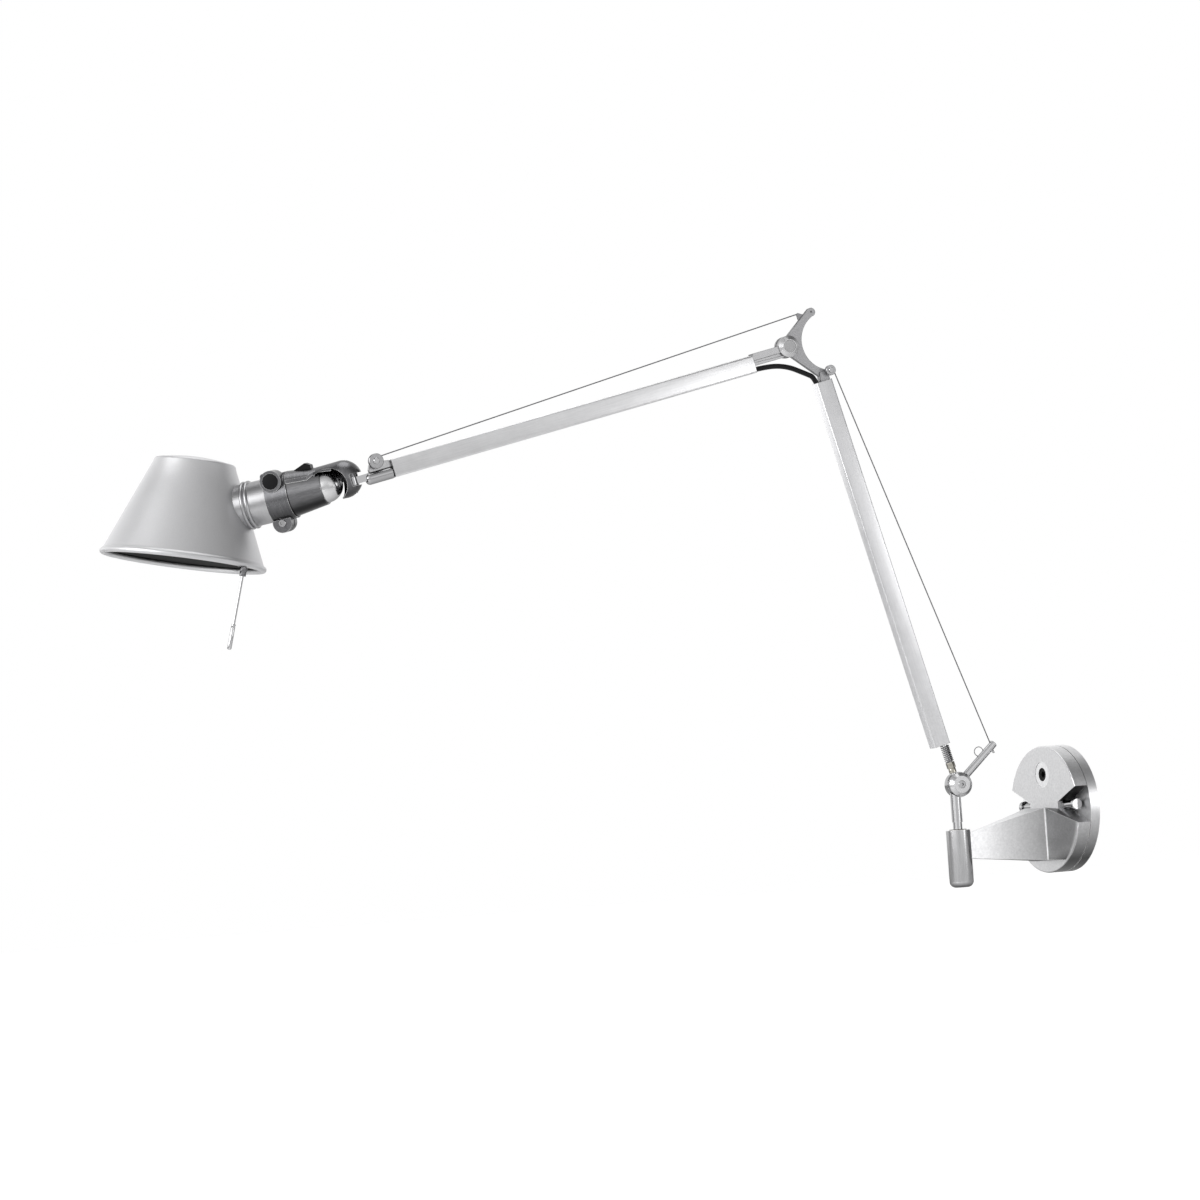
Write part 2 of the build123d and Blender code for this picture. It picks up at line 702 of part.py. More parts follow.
def wire_hook():
    """The small triangular plate that the upper wire's end is crimped into."""
    limb = math.degrees(math.atan2(upper_limb_z, upper_limb_x))
    inner = -limb_tip_radius + hook_seat
    outline = Polygon(
        (-hook_height / 2, inner), (hook_height / 2, inner), (hook_height * 0.2, inner - hook_reach),
        (hook_height * 0.02, inner - hook_reach), align=None,
    )
    plate = slab(outline, -hook_thickness / 2, hook_thickness / 2)
    place = Pos(hub_along, 0, -hub_drop) * Rot(0, -limb, 0) * Pos(hook_place, 0, 0)
    return lower_frame * place * plate


def lower_wire():
    """From the roller's groove straight down to the lever's cross hole."""
    groove_y = roller_side + roller_width / 2
    start = Vector(roller_along - 1.0, groove_y, roller_rise + roller_groove_radius + wire_radius + 0.4)
    turn = math.radians(lever_rest)
    anchor = Vector(
        math.cos(turn) * wire_anchor_place - math.sin(turn) * (-lever_radius - 1.2),
        lever_side,
        math.sin(turn) * wire_anchor_place - math.cos(turn) * (lever_radius + 1.2),
    )
    return lower_frame * tube_sweep(Wire([Line(start, anchor)]), wire_radius)


# ---- upper arm ----
def upper_fork():
    inner = bracket_half_thickness + side_gap
    outer = inner + cheek_thickness
    root = upper_tube_start + fork_root_depth
    bar = Polygon(
        (0, -fork_bar_drop), (root, -fork_bar_drop), (root, fork_bar_rise - 1.6),
        (upper_tube_start - 1, fork_bar_rise - 1.6), (upper_tube_start - 1, fork_bar_rise), (0, fork_bar_rise),
        align=None,
    )
    web = Polygon(
        (0, -fork_flange_drop + 1), (root, -fork_flange_drop), (root, 0), (0, 0), align=None,
    )
    flange = Polygon(
        (4, -fork_groove_drop - 1.5), (upper_tube_start, -fork_groove_drop), (root, -fork_groove_drop),
        (root, -fork_flange_drop), (upper_tube_start, -fork_flange_drop), (4, -fork_flange_drop), align=None,
    )
    body = None
    for side_sign in (-1, 1):
        near, far = sorted((side_sign * inner, side_sign * outer))
        web_near, web_far = sorted((side_sign * inner, side_sign * (inner + fork_web_thickness)))
        low_near, low_far = sorted((side_sign * inner, side_sign * (outer - 0.8)))
        cheek = slab(bar, near, far) + slab(web, web_near, web_far) + slab(flange, low_near, low_far)
        cheek += along_y(hub_disc_radius, near, far)
        body = cheek if body is None else body + cheek
    clear = tube_plug(upper_tube_start - 60, root, upper_tube_drop)
    stub = body & block(upper_tube_start, root + 1, -20, 20, -40, 40) & clear
    body = body & block(-40, upper_tube_start, -20, 20, -40, 40)
    bridge = block(upper_tube_start + 2, root, -inner - 0.5, inner + 0.5, -fork_flange_drop, -0.2)
    body = body + stub + (bridge & clear)
    return upper_frame * (body - along_y(hub_pin_radius, -40, 40))


def hub_cap(side_sign):
    inner = bracket_half_thickness + side_gap + cheek_thickness
    cap = along_y(hub_disc_radius, inner, inner + hub_cap_height)
    bevel = min(hub_disc_radius - hub_cap_face_radius, hub_cap_height - 0.9)
    top = cap.edges().sort_by(Axis.Y)[-1]
    cap = chamfer(top, bevel, hub_disc_radius - hub_cap_face_radius)
    cap -= along_y(hub_pin_radius, 0, inner + hub_cap_height - 1.6)
    if side_sign < 0:
        cap = Rot(0, 0, 180) * cap
    return upper_frame * cap


def hub_pin():
    half = bracket_half_thickness + side_gap + cheek_thickness + hub_cap_height - 1.6
    return upper_frame * along_y(hub_pin_radius, -half, half)


def end_fitting():
    """Plug in the far end of the upper tube, with the pulley's bridge and the neck's bearing."""
    tube_end = upper_tube_end
    plug = tube_plug(tube_end - end_plug_depth, tube_end, upper_tube_drop)
    clear = neck_radius + side_gap
    bridge_low = -neck_drop
    tube_top = -upper_tube_drop + tube_height / 2 - tube_wall - running_fit
    outline = Polygon(
        (tube_end - 6, bridge_low), (tube_end + bridge_reach, bridge_low + clear - 1.5),
        (tube_end + bridge_reach, bridge_low + clear + 2.4), (pulley_along + 7, pulley_rise - 2),
        (pulley_along - 6, pulley_rise - 1), (tube_end + 1, bridge_top), (tube_end, tube_top), (tube_end - 6, tube_top),
        align=None,
    )
    bridge = slab(outline, -bridge_half_width, bridge_half_width)
    eye = along_y(pulley_eye_radius, -bridge_half_width, bridge_half_width, pulley_along, pulley_rise)
    body = bridge + eye - along_x(clear, tube_end, tube_end + 60, 0, -neck_drop)
    body -= block(tube_end, tube_end + 60, -20, 20, -60, -neck_drop)
    body += plug
    body -= along_x(neck_shank_radius + running_fit, tube_end - 40, tube_end + 1, 0, -neck_drop)
    body -= along_y(pulley_pin_radius, -40, 40, pulley_along, pulley_rise)
    return upper_frame * body


def pulley():
    wheel = grooved_wheel(pulley_radius, pulley_groove_radius, pulley_width, pulley_pin_radius + running_fit)
    return upper_frame * Pos(pulley_along, pulley_side, pulley_rise) * wheel


def pulley_screw():
    front = pulley_side + pulley_width + 0.1
    pin = along_y(pulley_pin_radius, -bridge_half_width, front, pulley_along, pulley_rise)
    head = along_y(pulley_head_radius, front, front + pulley_head_height, pulley_along, pulley_rise)
    head = chamfer(head.edges().sort_by(Axis.Y)[-1], 0.5)
    slot = block(pulley_along - 5, pulley_along + 5, front + 0.8, front + 4, pulley_rise - 0.5, pulley_rise + 0.5)
    return upper_frame * (pin + head - slot)


def upper_wire():
    """From the pulley's groove straight back to the hook's tip."""
    limb = math.atan2(upper_limb_z, upper_limb_x)
    reach = limb_tip_radius - hook_seat + hook_reach - 0.6
    along = hook_place + hook_height * 0.1
    hook_x = math.cos(limb) * along + math.sin(limb) * reach
    hook_z = math.sin(limb) * along - math.cos(limb) * reach
    turn = math.radians(-lower_rest - upper_rest)
    hook_tip = Vector(
        hook_x * math.cos(turn) + hook_z * math.sin(turn), 0, -hook_x * math.sin(turn) + hook_z * math.cos(turn)
    )
    groove = Vector(
        pulley_along - 2, pulley_side + pulley_width / 2, pulley_rise + pulley_groove_radius + wire_radius + 0.35
    )
    away = (groove - hook_tip).normalized()
    return upper_frame * tube_sweep(Wire([Line(hook_tip + away * 1.4, groove)]), wire_radius)


def swivel_neck():
    """Polished round neck that turns in the tube's end and carries the head's pivot eye."""
    tube_end = upper_tube_end
    z = -neck_drop
    body = along_x(neck_radius, tube_end + side_gap, tube_end + neck_reach, 0, z)
    rings = body.edges().filter_by(GeomType.CIRCLE).sort_by(Axis.X)
    body = fillet(rings[-1], neck_nose_round)
    body = chamfer(body.edges().filter_by(GeomType.CIRCLE).sort_by(Axis.X)[0], 0.6)
    body += along_x(neck_shank_radius, tube_end - neck_shank_length, tube_end + 2, 0, z)
    eye_z = -upper_tube_drop - tang_drop
    low, high = eye_z - tang_half_height, eye_z + tang_half_height
    tang = block(tube_end + neck_reach - 5, head_along, -tang_half_width, tang_half_width, low, high)
    tang += Pos(head_along, 0, eye_z) * Cylinder(tang_radius, 2 * tang_half_height)
    tang -= Pos(head_along, 0, eye_z) * Cylinder(head_pin_radius + running_fit, 40)
    return upper_frame * (body + tang)


def power_cable():
    """The black lead that crosses the elbow from tube to tube, in the lower arm's frame."""
    inset = tube_height / 2 - tube_wall - cable_radius - cable_wall_gap
    turn = math.radians(-lower_rest - upper_rest)

    def from_upper(x, z):
        return Vector(
            hub_along + x * math.cos(turn) - z * math.sin(turn), 0, -hub_drop + x * math.sin(turn) + z * math.cos(turn)
        )

    lower_z = -lower_tube_drop - inset
    upper_z = -upper_tube_drop - inset
    tube_end = lower_tube_end
    route = [
        from_upper(upper_tube_start + cable_depth, upper_z),
        from_upper(upper_tube_start - 12, upper_z),
        from_upper(upper_tube_start - 38, upper_z - 6.0),
        from_upper(upper_tube_start - 58, upper_z - 20.5),
        Vector(tube_end + 6, 0, lower_z),
        Vector(tube_end - cable_depth, 0, lower_z),
    ]
    radii = []
    for before, corner, after in zip(route, route[1:], route[2:]):
        bend = math.radians((corner - before).get_angle(after - corner))
        run = min((corner - before).length, (after - corner).length)
        radii.append(0.45 * run / math.tan(bend / 2))
    print("power cable radii", [round(radius, 1) for radius in radii])
    path = FilletPolyline(*route, radius=radii)
    return lower_frame * tube_sweep(path, cable_radius)


# ---- head ----
def housing_radius(x):
    share = (x - dome_start) / (housing_end - dome_start)
    return housing_rear_radius + share * (housing_front_radius - housing_rear_radius)


def hood_bracket():
    """Slotted hood round the rear dome, with the strap that runs forward to the clamp."""
    inner_radius = hood_radius - hood_wall
    half = [
        Line((hood_centre - inner_radius, 0), (hood_centre - hood_radius, 0)),
        CenterArc((hood_centre, 0), hood_radius, 90, 90),
        Line((hood_centre, hood_radius), (hood_end, hood_end_radius)),
        Line((hood_end, hood_end_radius), (hood_end, hood_end_radius - hood_wall)),
        Line((hood_end, hood_end_radius - hood_wall), (hood_centre, inner_radius)),
        CenterArc((hood_centre, 0), inner_radius, 90, 90),
    ]
    shell = Pos(0, 0, hood_rise) * revolve(Plane.XZ * make_face(half), Axis.X)
    window = Pos(hood_window_x, 0) * Ellipse(hood_window_half_length, hood_window_half_height)
    shell -= slab(window, 0, 2 * hood_radius)
    over_housing = hood_window_half_height - 1.3
    shell -= block(dome_start - side_gap, hood_end + 1, -2 * hood_radius, 0, -2 * hood_radius, over_housing)
    shell -= block(hood_window_x - 8, 100, -60, 60, -60, 0)
    shell -= block(-60, hood_slot_end, -60, 60, -hood_slot_half_height, hood_slot_half_height)
    ball = Pos(hood_centre, 0, hood_rise) * Sphere(hood_radius - hood_wall / 2)
    lean = Rot(0, head_lift, 0)
    boss = lean * Cylinder(head_pin_radius + 2.6, 4 * hood_radius)
    low = -tang_drop - tang_half_height - side_gap
    high = -tang_drop + tang_half_height + side_gap
    boss -= lean * block(-60, 60, -60, 60, low, high)
    boss = boss & ball
    boss -= Pos(dome_start, 0, 0) * dome_solid(side_gap)
    body = shell + boss + hood_strap()
    return head_frame * (body - lean * Cylinder(head_pin_radius, 100))


def hood_strap():
    gap = 0.1
    low_x, high_x = strap_start, clamp_start - 0.05
    in_low, in_high = housing_radius(low_x) + gap, housing_radius(high_x) + gap
    ring = turned_x([
        (low_x, in_low), (high_x, in_high), (high_x, in_high + strap_thickness), (low_x, in_low + strap_thickness)
    ])
    wide = housing_front_radius * math.sin(math.radians(strap_half_angle)) + 2
    waist = wide - 2.8
    neck_x = strap_shoulder - 11
    half = Polygon(
        (low_x - 1, 0), (low_x - 1, strap_rear_half_width), (neck_x, strap_rear_half_width + 1),
        (strap_shoulder, waist), (high_x + 1, wide), (high_x + 1, 0), align=None,
    )
    plan = half + mirror(half, Plane.XZ)
    return ring & Pos(0, 0, housing_rear_radius * 0.35) * extrude(plan, 60, dir=(0, 0, 1))


def dome_solid(grow):
    outline = [
        Line((0, 0), (-dome_length - grow, 0)),
        EllipticalCenterArc((0, 0), dome_length + grow, dome_radius + grow, start_angle=90, arc_size=90),
        Line((0, dome_radius + grow), (0, 0)),
    ]
    return revolve(Plane.XZ * make_face(outline), Axis.X)


def rear_dome():
    outer = dome_solid(0)
    inner = dome_solid(-housing_wall)
    collar = along_x(dome_radius - 1.6, -1, 5) - along_x(dome_radius - 1.6 - housing_wall, -2, 6)
    return head_frame * Pos(dome_start, 0, 0) * (outer - inner + collar)


def lamp_housing():
    wall = housing_wall
    spigot = neck_spigot_radius
    end = shade_neck_end - spigot_length - 1.0
    outline = [
        (dome_start + 0.05, housing_rear_radius), (housing_end, housing_front_radius), (housing_end, spigot),
        (end, spigot), (end, spigot - wall), (housing_end - 3, spigot - wall),
        (dome_start + 8, dome_radius - 1.6), (dome_start + 0.05, dome_radius - 1.6),
    ]
    return head_frame * turned_x(outline)


def clamp_ring():
    inner = neck_spigot_radius + running_fit
    outer = inner + clamp_thickness
    end = clamp_start + clamp_width
    ring = along_x(outer, clamp_start, end)
    lugs = along_y(lug_radius, -lug_half_span, lug_half_span, lug_along, -lug_drop)
    boss_face = Circle(boss_radius) + Pos(boss_corner / 2, boss_corner / 2) * fillet(
        Rectangle(boss_corner * 1.16, boss_corner * 1.16).vertices(), 3.0
    )
    boss = slab(Pos(boss_along, boss_rise) * boss_face, boss_front - boss_depth, boss_front)
    saddle = block(clamp_start, boss_along + 6, -14, boss_front - boss_depth + 1, 12, boss_rise + 7)
    saddle = saddle & along_x(boss_rise + 7.4, clamp_start, end)
    body = ring + lugs + boss + saddle
    body -= along_x(inner, clamp_start - 1, end + 30)
    body -= along_x(shade_neck_radius + side_gap, end, end + 30)
    body -= block(clamp_start - 1, end + 30, -clamp_split_half, clamp_split_half, -60, 0)
    body -= along_y(clamp_screw_radius, -40, 40, lug_along, -lug_drop)
    for side_sign in (-1, 1):
        near, far = sorted((side_sign * lug_half_span, side_sign * 40))
        body -= along_y(clamp_head_radius + 0.2, near, far, lug_along, -lug_drop)
    well = boss_front + button_proud - button_length - button_travel - 0.2
    body -= along_y(button_radius + running_fit, well, 60, boss_along, boss_rise)
    return head_frame * body


def clamp_hardware():
    z = -lug_drop
    screw = along_y(clamp_screw_radius, -lug_half_span - 3.4, lug_half_span, lug_along, z)
    head = along_y(clamp_head_radius, lug_half_span, lug_half_span + clamp_head_height, lug_along, z)
    head = chamfer(head.edges().sort_by(Axis.Y)[-1], 0.5)
    key = Pos(lug_along, lug_half_span + clamp_head_height + 0.1, z)
    key = key * extrude(Plane.XZ * RegularPolygon(joint_key_radius, 6), 1.2)
    parts["clamp_screw"] = head_frame * (screw + head - key)
    nut = Pos(lug_along, -lug_half_span, z) * extrude(Plane.XZ * RegularPolygon(clamp_head_radius, 6), 3.2)
    parts["clamp_nut"] = head_frame * (nut - along_y(clamp_screw_radius, -40, 40, lug_along, z))


def push_button():
    face = boss_front + button_proud
    button = along_y(button_radius, face - button_length, face, boss_along, boss_rise)
    button = fillet(button.edges().sort_by(Axis.Y)[-1], 1.1)
    return head_frame * button


def cable_inlet():
    """Black grommet on the strap, highest at its rear."""
    front, rear = inlet_along + inlet_length / 2, inlet_along - inlet_length / 2
    top = housing_radius(inlet_along) + 0.1 + strap_thickness
    outline = Polygon(
        (front, top - 4), (front, top + 1.0), (rear + inlet_length * 0.3, top + inlet_height), (rear, top + 2.5),
        (rear, top - 4), align=None,
    )
    lump = slab(outline, -inlet_width / 2, inlet_width / 2)
    lump = fillet(lump.edges().filter_by(Axis.Y).group_by(Axis.Z)[-1], 1.5)
    low_x, high_x = dome_start, clamp_start + clamp_width
    under = turned_x([
        (low_x, 0), (high_x, 0), (high_x, housing_radius(high_x) + 0.1 + strap_thickness),
        (low_x, housing_radius(low_x) + 0.1 + strap_thickness),
    ])
    return head_frame * (lump - under)


def lampholder():
    end = holder_start + holder_length
    step = end - holder_bore_depth - 6
    outline = [
        (holder_start, 0), (holder_start, holder_radius - 4), (step - 8, holder_radius - 4), (step - 4, holder_radius),
        (end, holder_radius), (end, holder_bore), (end - holder_bore_depth, holder_bore), (end - holder_bore_depth, 0),
    ]
    return head_frame * turned_x(outline)


def head_pin():
    half = math.sqrt(hood_radius ** 2 - hood_centre ** 2) - 0.5
    return head_frame * Rot(0, head_lift, 0) * Pos(0, 0, hood_rise) * Cylinder(head_pin_radius, 2 * half)


# ---- shade ----
def cone_radius(z):
    return rim_radius + (z - rim_bead_radius) * (top_radius - rim_radius) / (shade_height - rim_bead_radius)


def shade_outline(inset):
    """Half section of the spun shade, drawn as (radius, height) and pulled in by inset."""
    crown = Vector(0, shade_height + top_crown - inset)
    shoulder = Vector(top_radius - top_round - inset * 0.3, shade_height - inset)
    side_top = Vector(top_radius + 0.4 - inset, shade_height - top_round)
    side_low = Vector(rim_radius - inset * 1.1, rim_bead_radius)
    return crown, shoulder, side_top, side_low


def shade_solid(inset):
    crown, shoulder, side_top, side_low = shade_outline(inset)
    middle = Vector((crown.X + shoulder.X) / 2, crown.Y - (crown.Y - shoulder.Y) * 0.25)
    bend = (shoulder + side_top) / 2 + Vector(0.8, 0.8)
    edges = [
        ThreePointArc(crown, middle, shoulder),
        ThreePointArc(shoulder, bend, side_top),
        Line(side_top, side_low),
        Line(side_low, (0, rim_bead_radius)),
        Line((0, rim_bead_radius), crown),
    ]
    return revolve(Plane.XZ * make_face(edges), Axis.Z)


def neck_axis():
    """The head's x axis, seen from the shade's frame."""
    return Rot(0, shade_tilt, 0) * Pos(-rim_along, 0, rim_drop)


def shade():
    bowl = shade_solid(0) - shade_solid(shade_wall)
    bead = Pos(0, 0, rim_bead_radius) * Torus(rim_radius - rim_bead_inset, rim_bead_radius)
    body = bowl + bead
    hole = neck_axis() * along_x(shade_neck_radius - shade_neck_wall, 80, rim_along - 30)
    stud = Cylinder(handle_radius, 2 * handle_socket)
    return shade_frame * (body - hole - handle_place() * stud)


def shade_neck():
    end = rim_along - 50
    outer = along_x(shade_neck_radius, shade_neck_end, end)
    outer += along_x(neck_spigot_radius, shade_neck_end - spigot_length, shade_neck_end + 1)
    seat = neck_seat()
    for place, radius in ((seat - 9.5, bead_radius), (seat - 4.5, bead_radius)):
        ring = Pos(place, 0, 0) * Rot(0, 90, 0) * Torus(shade_neck_radius + 0.2, radius)
        outer += ring
    outer -= along_x(shade_neck_radius - shade_neck_wall, 0, end + 1)
    cone = (Pos(rim_along, 0, -rim_drop) * Rot(0, -shade_tilt, 0)) * shade_solid(0)
    return neck_frame * (outer - cone)


def neck_seat():
    """Where the neck's axis meets the shade's wall, along the head."""
    lean = math.radians(shade_tilt)
    slope = (top_radius - rim_radius) / (shade_height - rim_bead_radius)
    along = rim_along
    for _ in range(40):
        x = (along - rim_along) * math.cos(lean) + rim_drop * math.sin(lean)
        z = -(along - rim_along) * math.sin(lean) + rim_drop * math.cos(lean)
        along += (-x - cone_radius(z)) / (math.cos(lean) - slope * math.sin(lean)) * 0.9
    return along


def handle_place():
    return Rot(0, 0, 180 - handle_angle) * Pos(rim_radius - rim_bead_inset, 0, 0) * Rot(0, handle_lean, 0)


def handle():
    place = shade_frame * handle_place()
    rod = Pos(0, 0, (handle_socket - handle_length) / 2) * Cylinder(handle_radius, handle_length + handle_socket)
    grip = Pos(0, 0, -handle_length - 1.5 + grip_length / 2) * Cylinder(grip_radius, grip_length)
    grip = fillet(grip.edges().sort_by(Axis.Z)[0], 1.2)
    parts["handle_rod"] = place * rod
    parts["handle_grip"] = place * (grip - rod)
    nuts = (
        ("handle_nut", -running_fit, handle_nut_radius),
        ("handle_locknut", -running_fit - handle_nut_height, handle_nut_radius - 0.8),
    )
    for name, z, radius in nuts:
        nut = Pos(0, 0, z) * extrude(RegularPolygon(radius, 6), -handle_nut_height)
        parts[name] = place * (nut - Cylinder(handle_radius, 100))


# ---- assembly ----
parts["wall_plate"] = wall_plate()
parts["bracket_arm"] = bracket_arm()
hinge_hardware()
parts["levelling_screw"] = levelling_screw()
parts["socket_bush"] = socket_bush()
parts["stem"] = stem()
parts["tension_lever"] = tension_lever()
parts["wire_eye"] = wire_eye()
parts["joint_screw"] = joint_screw()
parts["rod_end"] = rod_end()
parts["ferrule"] = ferrule()
parts["base_spring"] = base_spring()
parts["lower_tube"] = lower_frame * square_tube(lower_tube_start, lower_tube_length, lower_tube_drop)
parts["lower_plug"] = lower_plug()
parts["elbow_bracket"] = elbow_bracket()
parts["wire_roller"] = wire_roller()
parts["roller_screw"] = roller_screw()
parts["wire_hook"] = wire_hook()
parts["lower_wire"] = lower_wire()
parts["upper_fork"] = upper_fork()
parts["hub_cap_front"] = hub_cap(1)
parts["hub_cap_rear"] = hub_cap(-1)
parts["hub_pin"] = hub_pin()
parts["upper_tube"] = upper_frame * square_tube(upper_tube_start, upper_tube_length, upper_tube_drop)
parts["end_fitting"] = end_fitting()
parts["pulley"] = pulley()
parts["pulley_screw"] = pulley_screw()
parts["upper_wire"] = upper_wire()
parts["power_cable"] = power_cable()
parts["swivel_neck"] = swivel_neck()
parts["head_pin"] = head_pin()
parts["hood_bracket"] = hood_bracket()
parts["rear_dome"] = rear_dome()
parts["lamp_housing"] = lamp_housing()
parts["clamp_ring"] = clamp_ring()
clamp_hardware()
parts["push_button"] = push_button()
parts["cable_inlet"] = cable_inlet()
parts["lampholder"] = lampholder()
parts["shade"] = shade()
parts["shade_neck"] = shade_neck()
handle()

os.makedirs("parts", exist_ok=True)
for name, solid in parts.items():
    export_step(solid, f"parts/{name}.step")
print("pieces", len(parts))
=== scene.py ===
# %% [markdown]
# # Dressing a spring-balanced wall lamp
# The solids of this lamp come from CAD: a hinged wall plate, a stem that turns in a socket,
# two square-tube arms, and a head with a spun shade. Here they get their real surfaces, and
# the pieces whose look depends on fine form, such as wires, spring, cable and shade, are
# modelled again. Everything is in metres, in the CAD model's own frame.

# %% Load the solids
import json
import math

import bpy
from mathutils import Matrix, Vector

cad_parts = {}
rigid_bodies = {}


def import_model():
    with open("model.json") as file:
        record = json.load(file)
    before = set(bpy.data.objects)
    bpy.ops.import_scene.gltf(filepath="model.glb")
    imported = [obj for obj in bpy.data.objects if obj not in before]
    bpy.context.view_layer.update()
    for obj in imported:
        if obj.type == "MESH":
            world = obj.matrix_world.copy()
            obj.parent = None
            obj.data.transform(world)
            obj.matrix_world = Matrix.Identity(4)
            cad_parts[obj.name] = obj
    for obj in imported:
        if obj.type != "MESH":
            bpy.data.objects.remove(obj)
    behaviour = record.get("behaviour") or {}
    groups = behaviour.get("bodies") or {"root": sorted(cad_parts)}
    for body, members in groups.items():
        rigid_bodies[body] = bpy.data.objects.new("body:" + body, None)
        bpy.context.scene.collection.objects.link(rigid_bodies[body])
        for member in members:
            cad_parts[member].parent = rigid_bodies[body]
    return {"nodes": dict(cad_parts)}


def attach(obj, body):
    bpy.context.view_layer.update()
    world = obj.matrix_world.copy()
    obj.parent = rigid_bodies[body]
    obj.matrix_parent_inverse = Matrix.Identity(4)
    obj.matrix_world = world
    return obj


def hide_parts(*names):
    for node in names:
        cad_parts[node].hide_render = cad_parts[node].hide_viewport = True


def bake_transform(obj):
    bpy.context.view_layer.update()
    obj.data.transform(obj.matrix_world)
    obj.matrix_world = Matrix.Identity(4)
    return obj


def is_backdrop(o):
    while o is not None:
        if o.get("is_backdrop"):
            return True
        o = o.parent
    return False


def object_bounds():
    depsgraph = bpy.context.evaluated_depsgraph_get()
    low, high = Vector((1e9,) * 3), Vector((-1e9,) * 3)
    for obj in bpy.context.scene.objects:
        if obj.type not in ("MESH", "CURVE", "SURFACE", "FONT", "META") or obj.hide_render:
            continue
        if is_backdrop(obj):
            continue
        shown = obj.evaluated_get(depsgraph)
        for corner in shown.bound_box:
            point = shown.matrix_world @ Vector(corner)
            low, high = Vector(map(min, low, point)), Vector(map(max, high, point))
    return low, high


bpy.ops.object.select_all(action="SELECT")
bpy.ops.object.delete()
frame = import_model()
cad_low, cad_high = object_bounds()
solids = frame["nodes"]
print("solids:", len(solids), "box", [round(v, 4) for v in (*cad_low, *cad_high)])

# %% [markdown]
# ## One frame for each thing that carries another
# On the real lamp each joint carries the next piece. The same chain of moves is written
# down once, so a piece can be drawn lying flat, in millimetres, and then settled in place.
# Typing world positions for each piece would work too, but one new angle would undo them all.

# %% Frames along the lamp
stem_reach = 144
lower_run, upper_run = 527.4, 527.2
lower_lean, elbow_fold = -75.25, 88.15
tube_drop = 8.2


def shift(x, y, z):
    """A move in millimetres."""
    return Matrix.Translation((x / 1000, y / 1000, z / 1000))


def turned(degrees, axis):
    return Matrix.Rotation(math.radians(degrees), 4, axis)


def spot_on(place, x, y, z):
    """A point given in millimetres in a place's own axes."""
    return place @ Vector((x / 1000, y / 1000, z / 1000))


socket_frame = shift(-stem_reach, 0, 0)
stem_frame = socket_frame @ turned(171, "Z")
joint_frame = stem_frame @ shift(-5.5, 0, 34.8)
lower_frame = joint_frame @ turned(lower_lean, "Y")
hub_frame = lower_frame @ shift(lower_run, 0, -34.9)
upper_frame = hub_frame @ turned(elbow_fold, "Y")
pivot_frame = upper_frame @ shift(upper_run, 0, -tube_drop) @ turned(-31, "Z")
head_frame = pivot_frame @ turned(-2.6, "Y")
shade_frame = head_frame @ turned(11, "X") @ shift(206.7, 0, -44.9) @ turned(-18.5, "Y")
upright = turned(-90, "Y")
facing = turned(90, "Z")
print("hub at", [round(v, 4) for v in hub_frame.translation])

# %% [markdown]
# ## Camera
# A long lens from far away keeps the arms almost parallel, as in the reference view. The
# camera stands a little below the lamp, to its left, and is turned by four degrees. Its axes
# are written out as vectors, because a picture that is shifted and rolled at once is hard to
# aim with a target object.

# %% Place the camera
azimuth, elevation, roll = math.radians(26.85), math.radians(-2.56), math.radians(4.06)
distance = 5.683
picture_side = 1200
origin_px, origin_py = 1065.73, 807.88
lens = bpy.data.cameras.new("photo_view")
lens.sensor_width = 36
lens.lens = 150
lens.clip_end = 100
level_share = math.cos(elevation)
towards = Vector((-math.sin(azimuth) * level_share, -math.cos(azimuth) * level_share, math.sin(elevation)))
level = Vector((math.cos(azimuth), -math.sin(azimuth), 0))
upward = towards.cross(level)
right = level * math.cos(roll) - upward * math.sin(roll)
top = level * math.sin(roll) + upward * math.cos(roll)
metre_per_pixel = distance * lens.sensor_width / lens.lens / picture_side
aim_x = (origin_px - picture_side / 2) * metre_per_pixel
aim_y = (picture_side / 2 - origin_py) * metre_per_pixel
spot = towards * distance - right * aim_x - top * aim_y
camera = bpy.data.objects.new("photo_view", lens)
bpy.context.scene.collection.objects.link(camera)
camera.matrix_world = Matrix((
    (right.x, top.x, towards.x, spot.x), (right.y, top.y, towards.y, spot.y),
    (right.z, top.z, towards.z, spot.z), (0, 0, 0, 1),
))
bpy.context.scene.camera = camera
print("camera at", [round(v, 3) for v in spot])

# %% [markdown]
# ## Picking before working
# An operator acts on all that is selected, and the solids are selected after loading. So
# each tool starts by picking just its own piece. Faces and edges are picked by a test on
# their place or direction, since there is no mouse to click them with.

# %% Pick a piece, or some of its faces or edges
def deselect():
    if bpy.context.mode != "OBJECT":
        bpy.ops.object.mode_set(mode="OBJECT")
    bpy.ops.object.select_all(action="DESELECT")


def pick(piece):
    deselect()
    piece.select_set(True)
    bpy.context.view_layer.objects.active = piece


def pick_parts(piece, kind, chosen):
    """Enters edit mode with only those faces or edges selected for which chosen is true."""
    pick(piece)
    bpy.ops.object.mode_set(mode="EDIT")
    bpy.ops.mesh.select_mode(type=kind)
    bpy.ops.mesh.select_all(action="DESELECT")
    bpy.ops.object.mode_set(mode="OBJECT")
    for part in piece.data.polygons if kind == "FACE" else piece.data.edges:
        part.select = chosen(part)
    bpy.ops.object.mode_set(mode="EDIT")


print("picking ready")

# %% [markdown]
# ## Drawing and spinning
# Most pieces of a lamp are turned on a lathe, so the main tool draws half an outline and
# spins it. A single vertex is extruded from point to point, as one would with the mouse.
# A Screw modifier can spin too, but the Spin operator leaves a plain mesh at once.

# %% Draw an outline and spin it
same_point = 0.0005


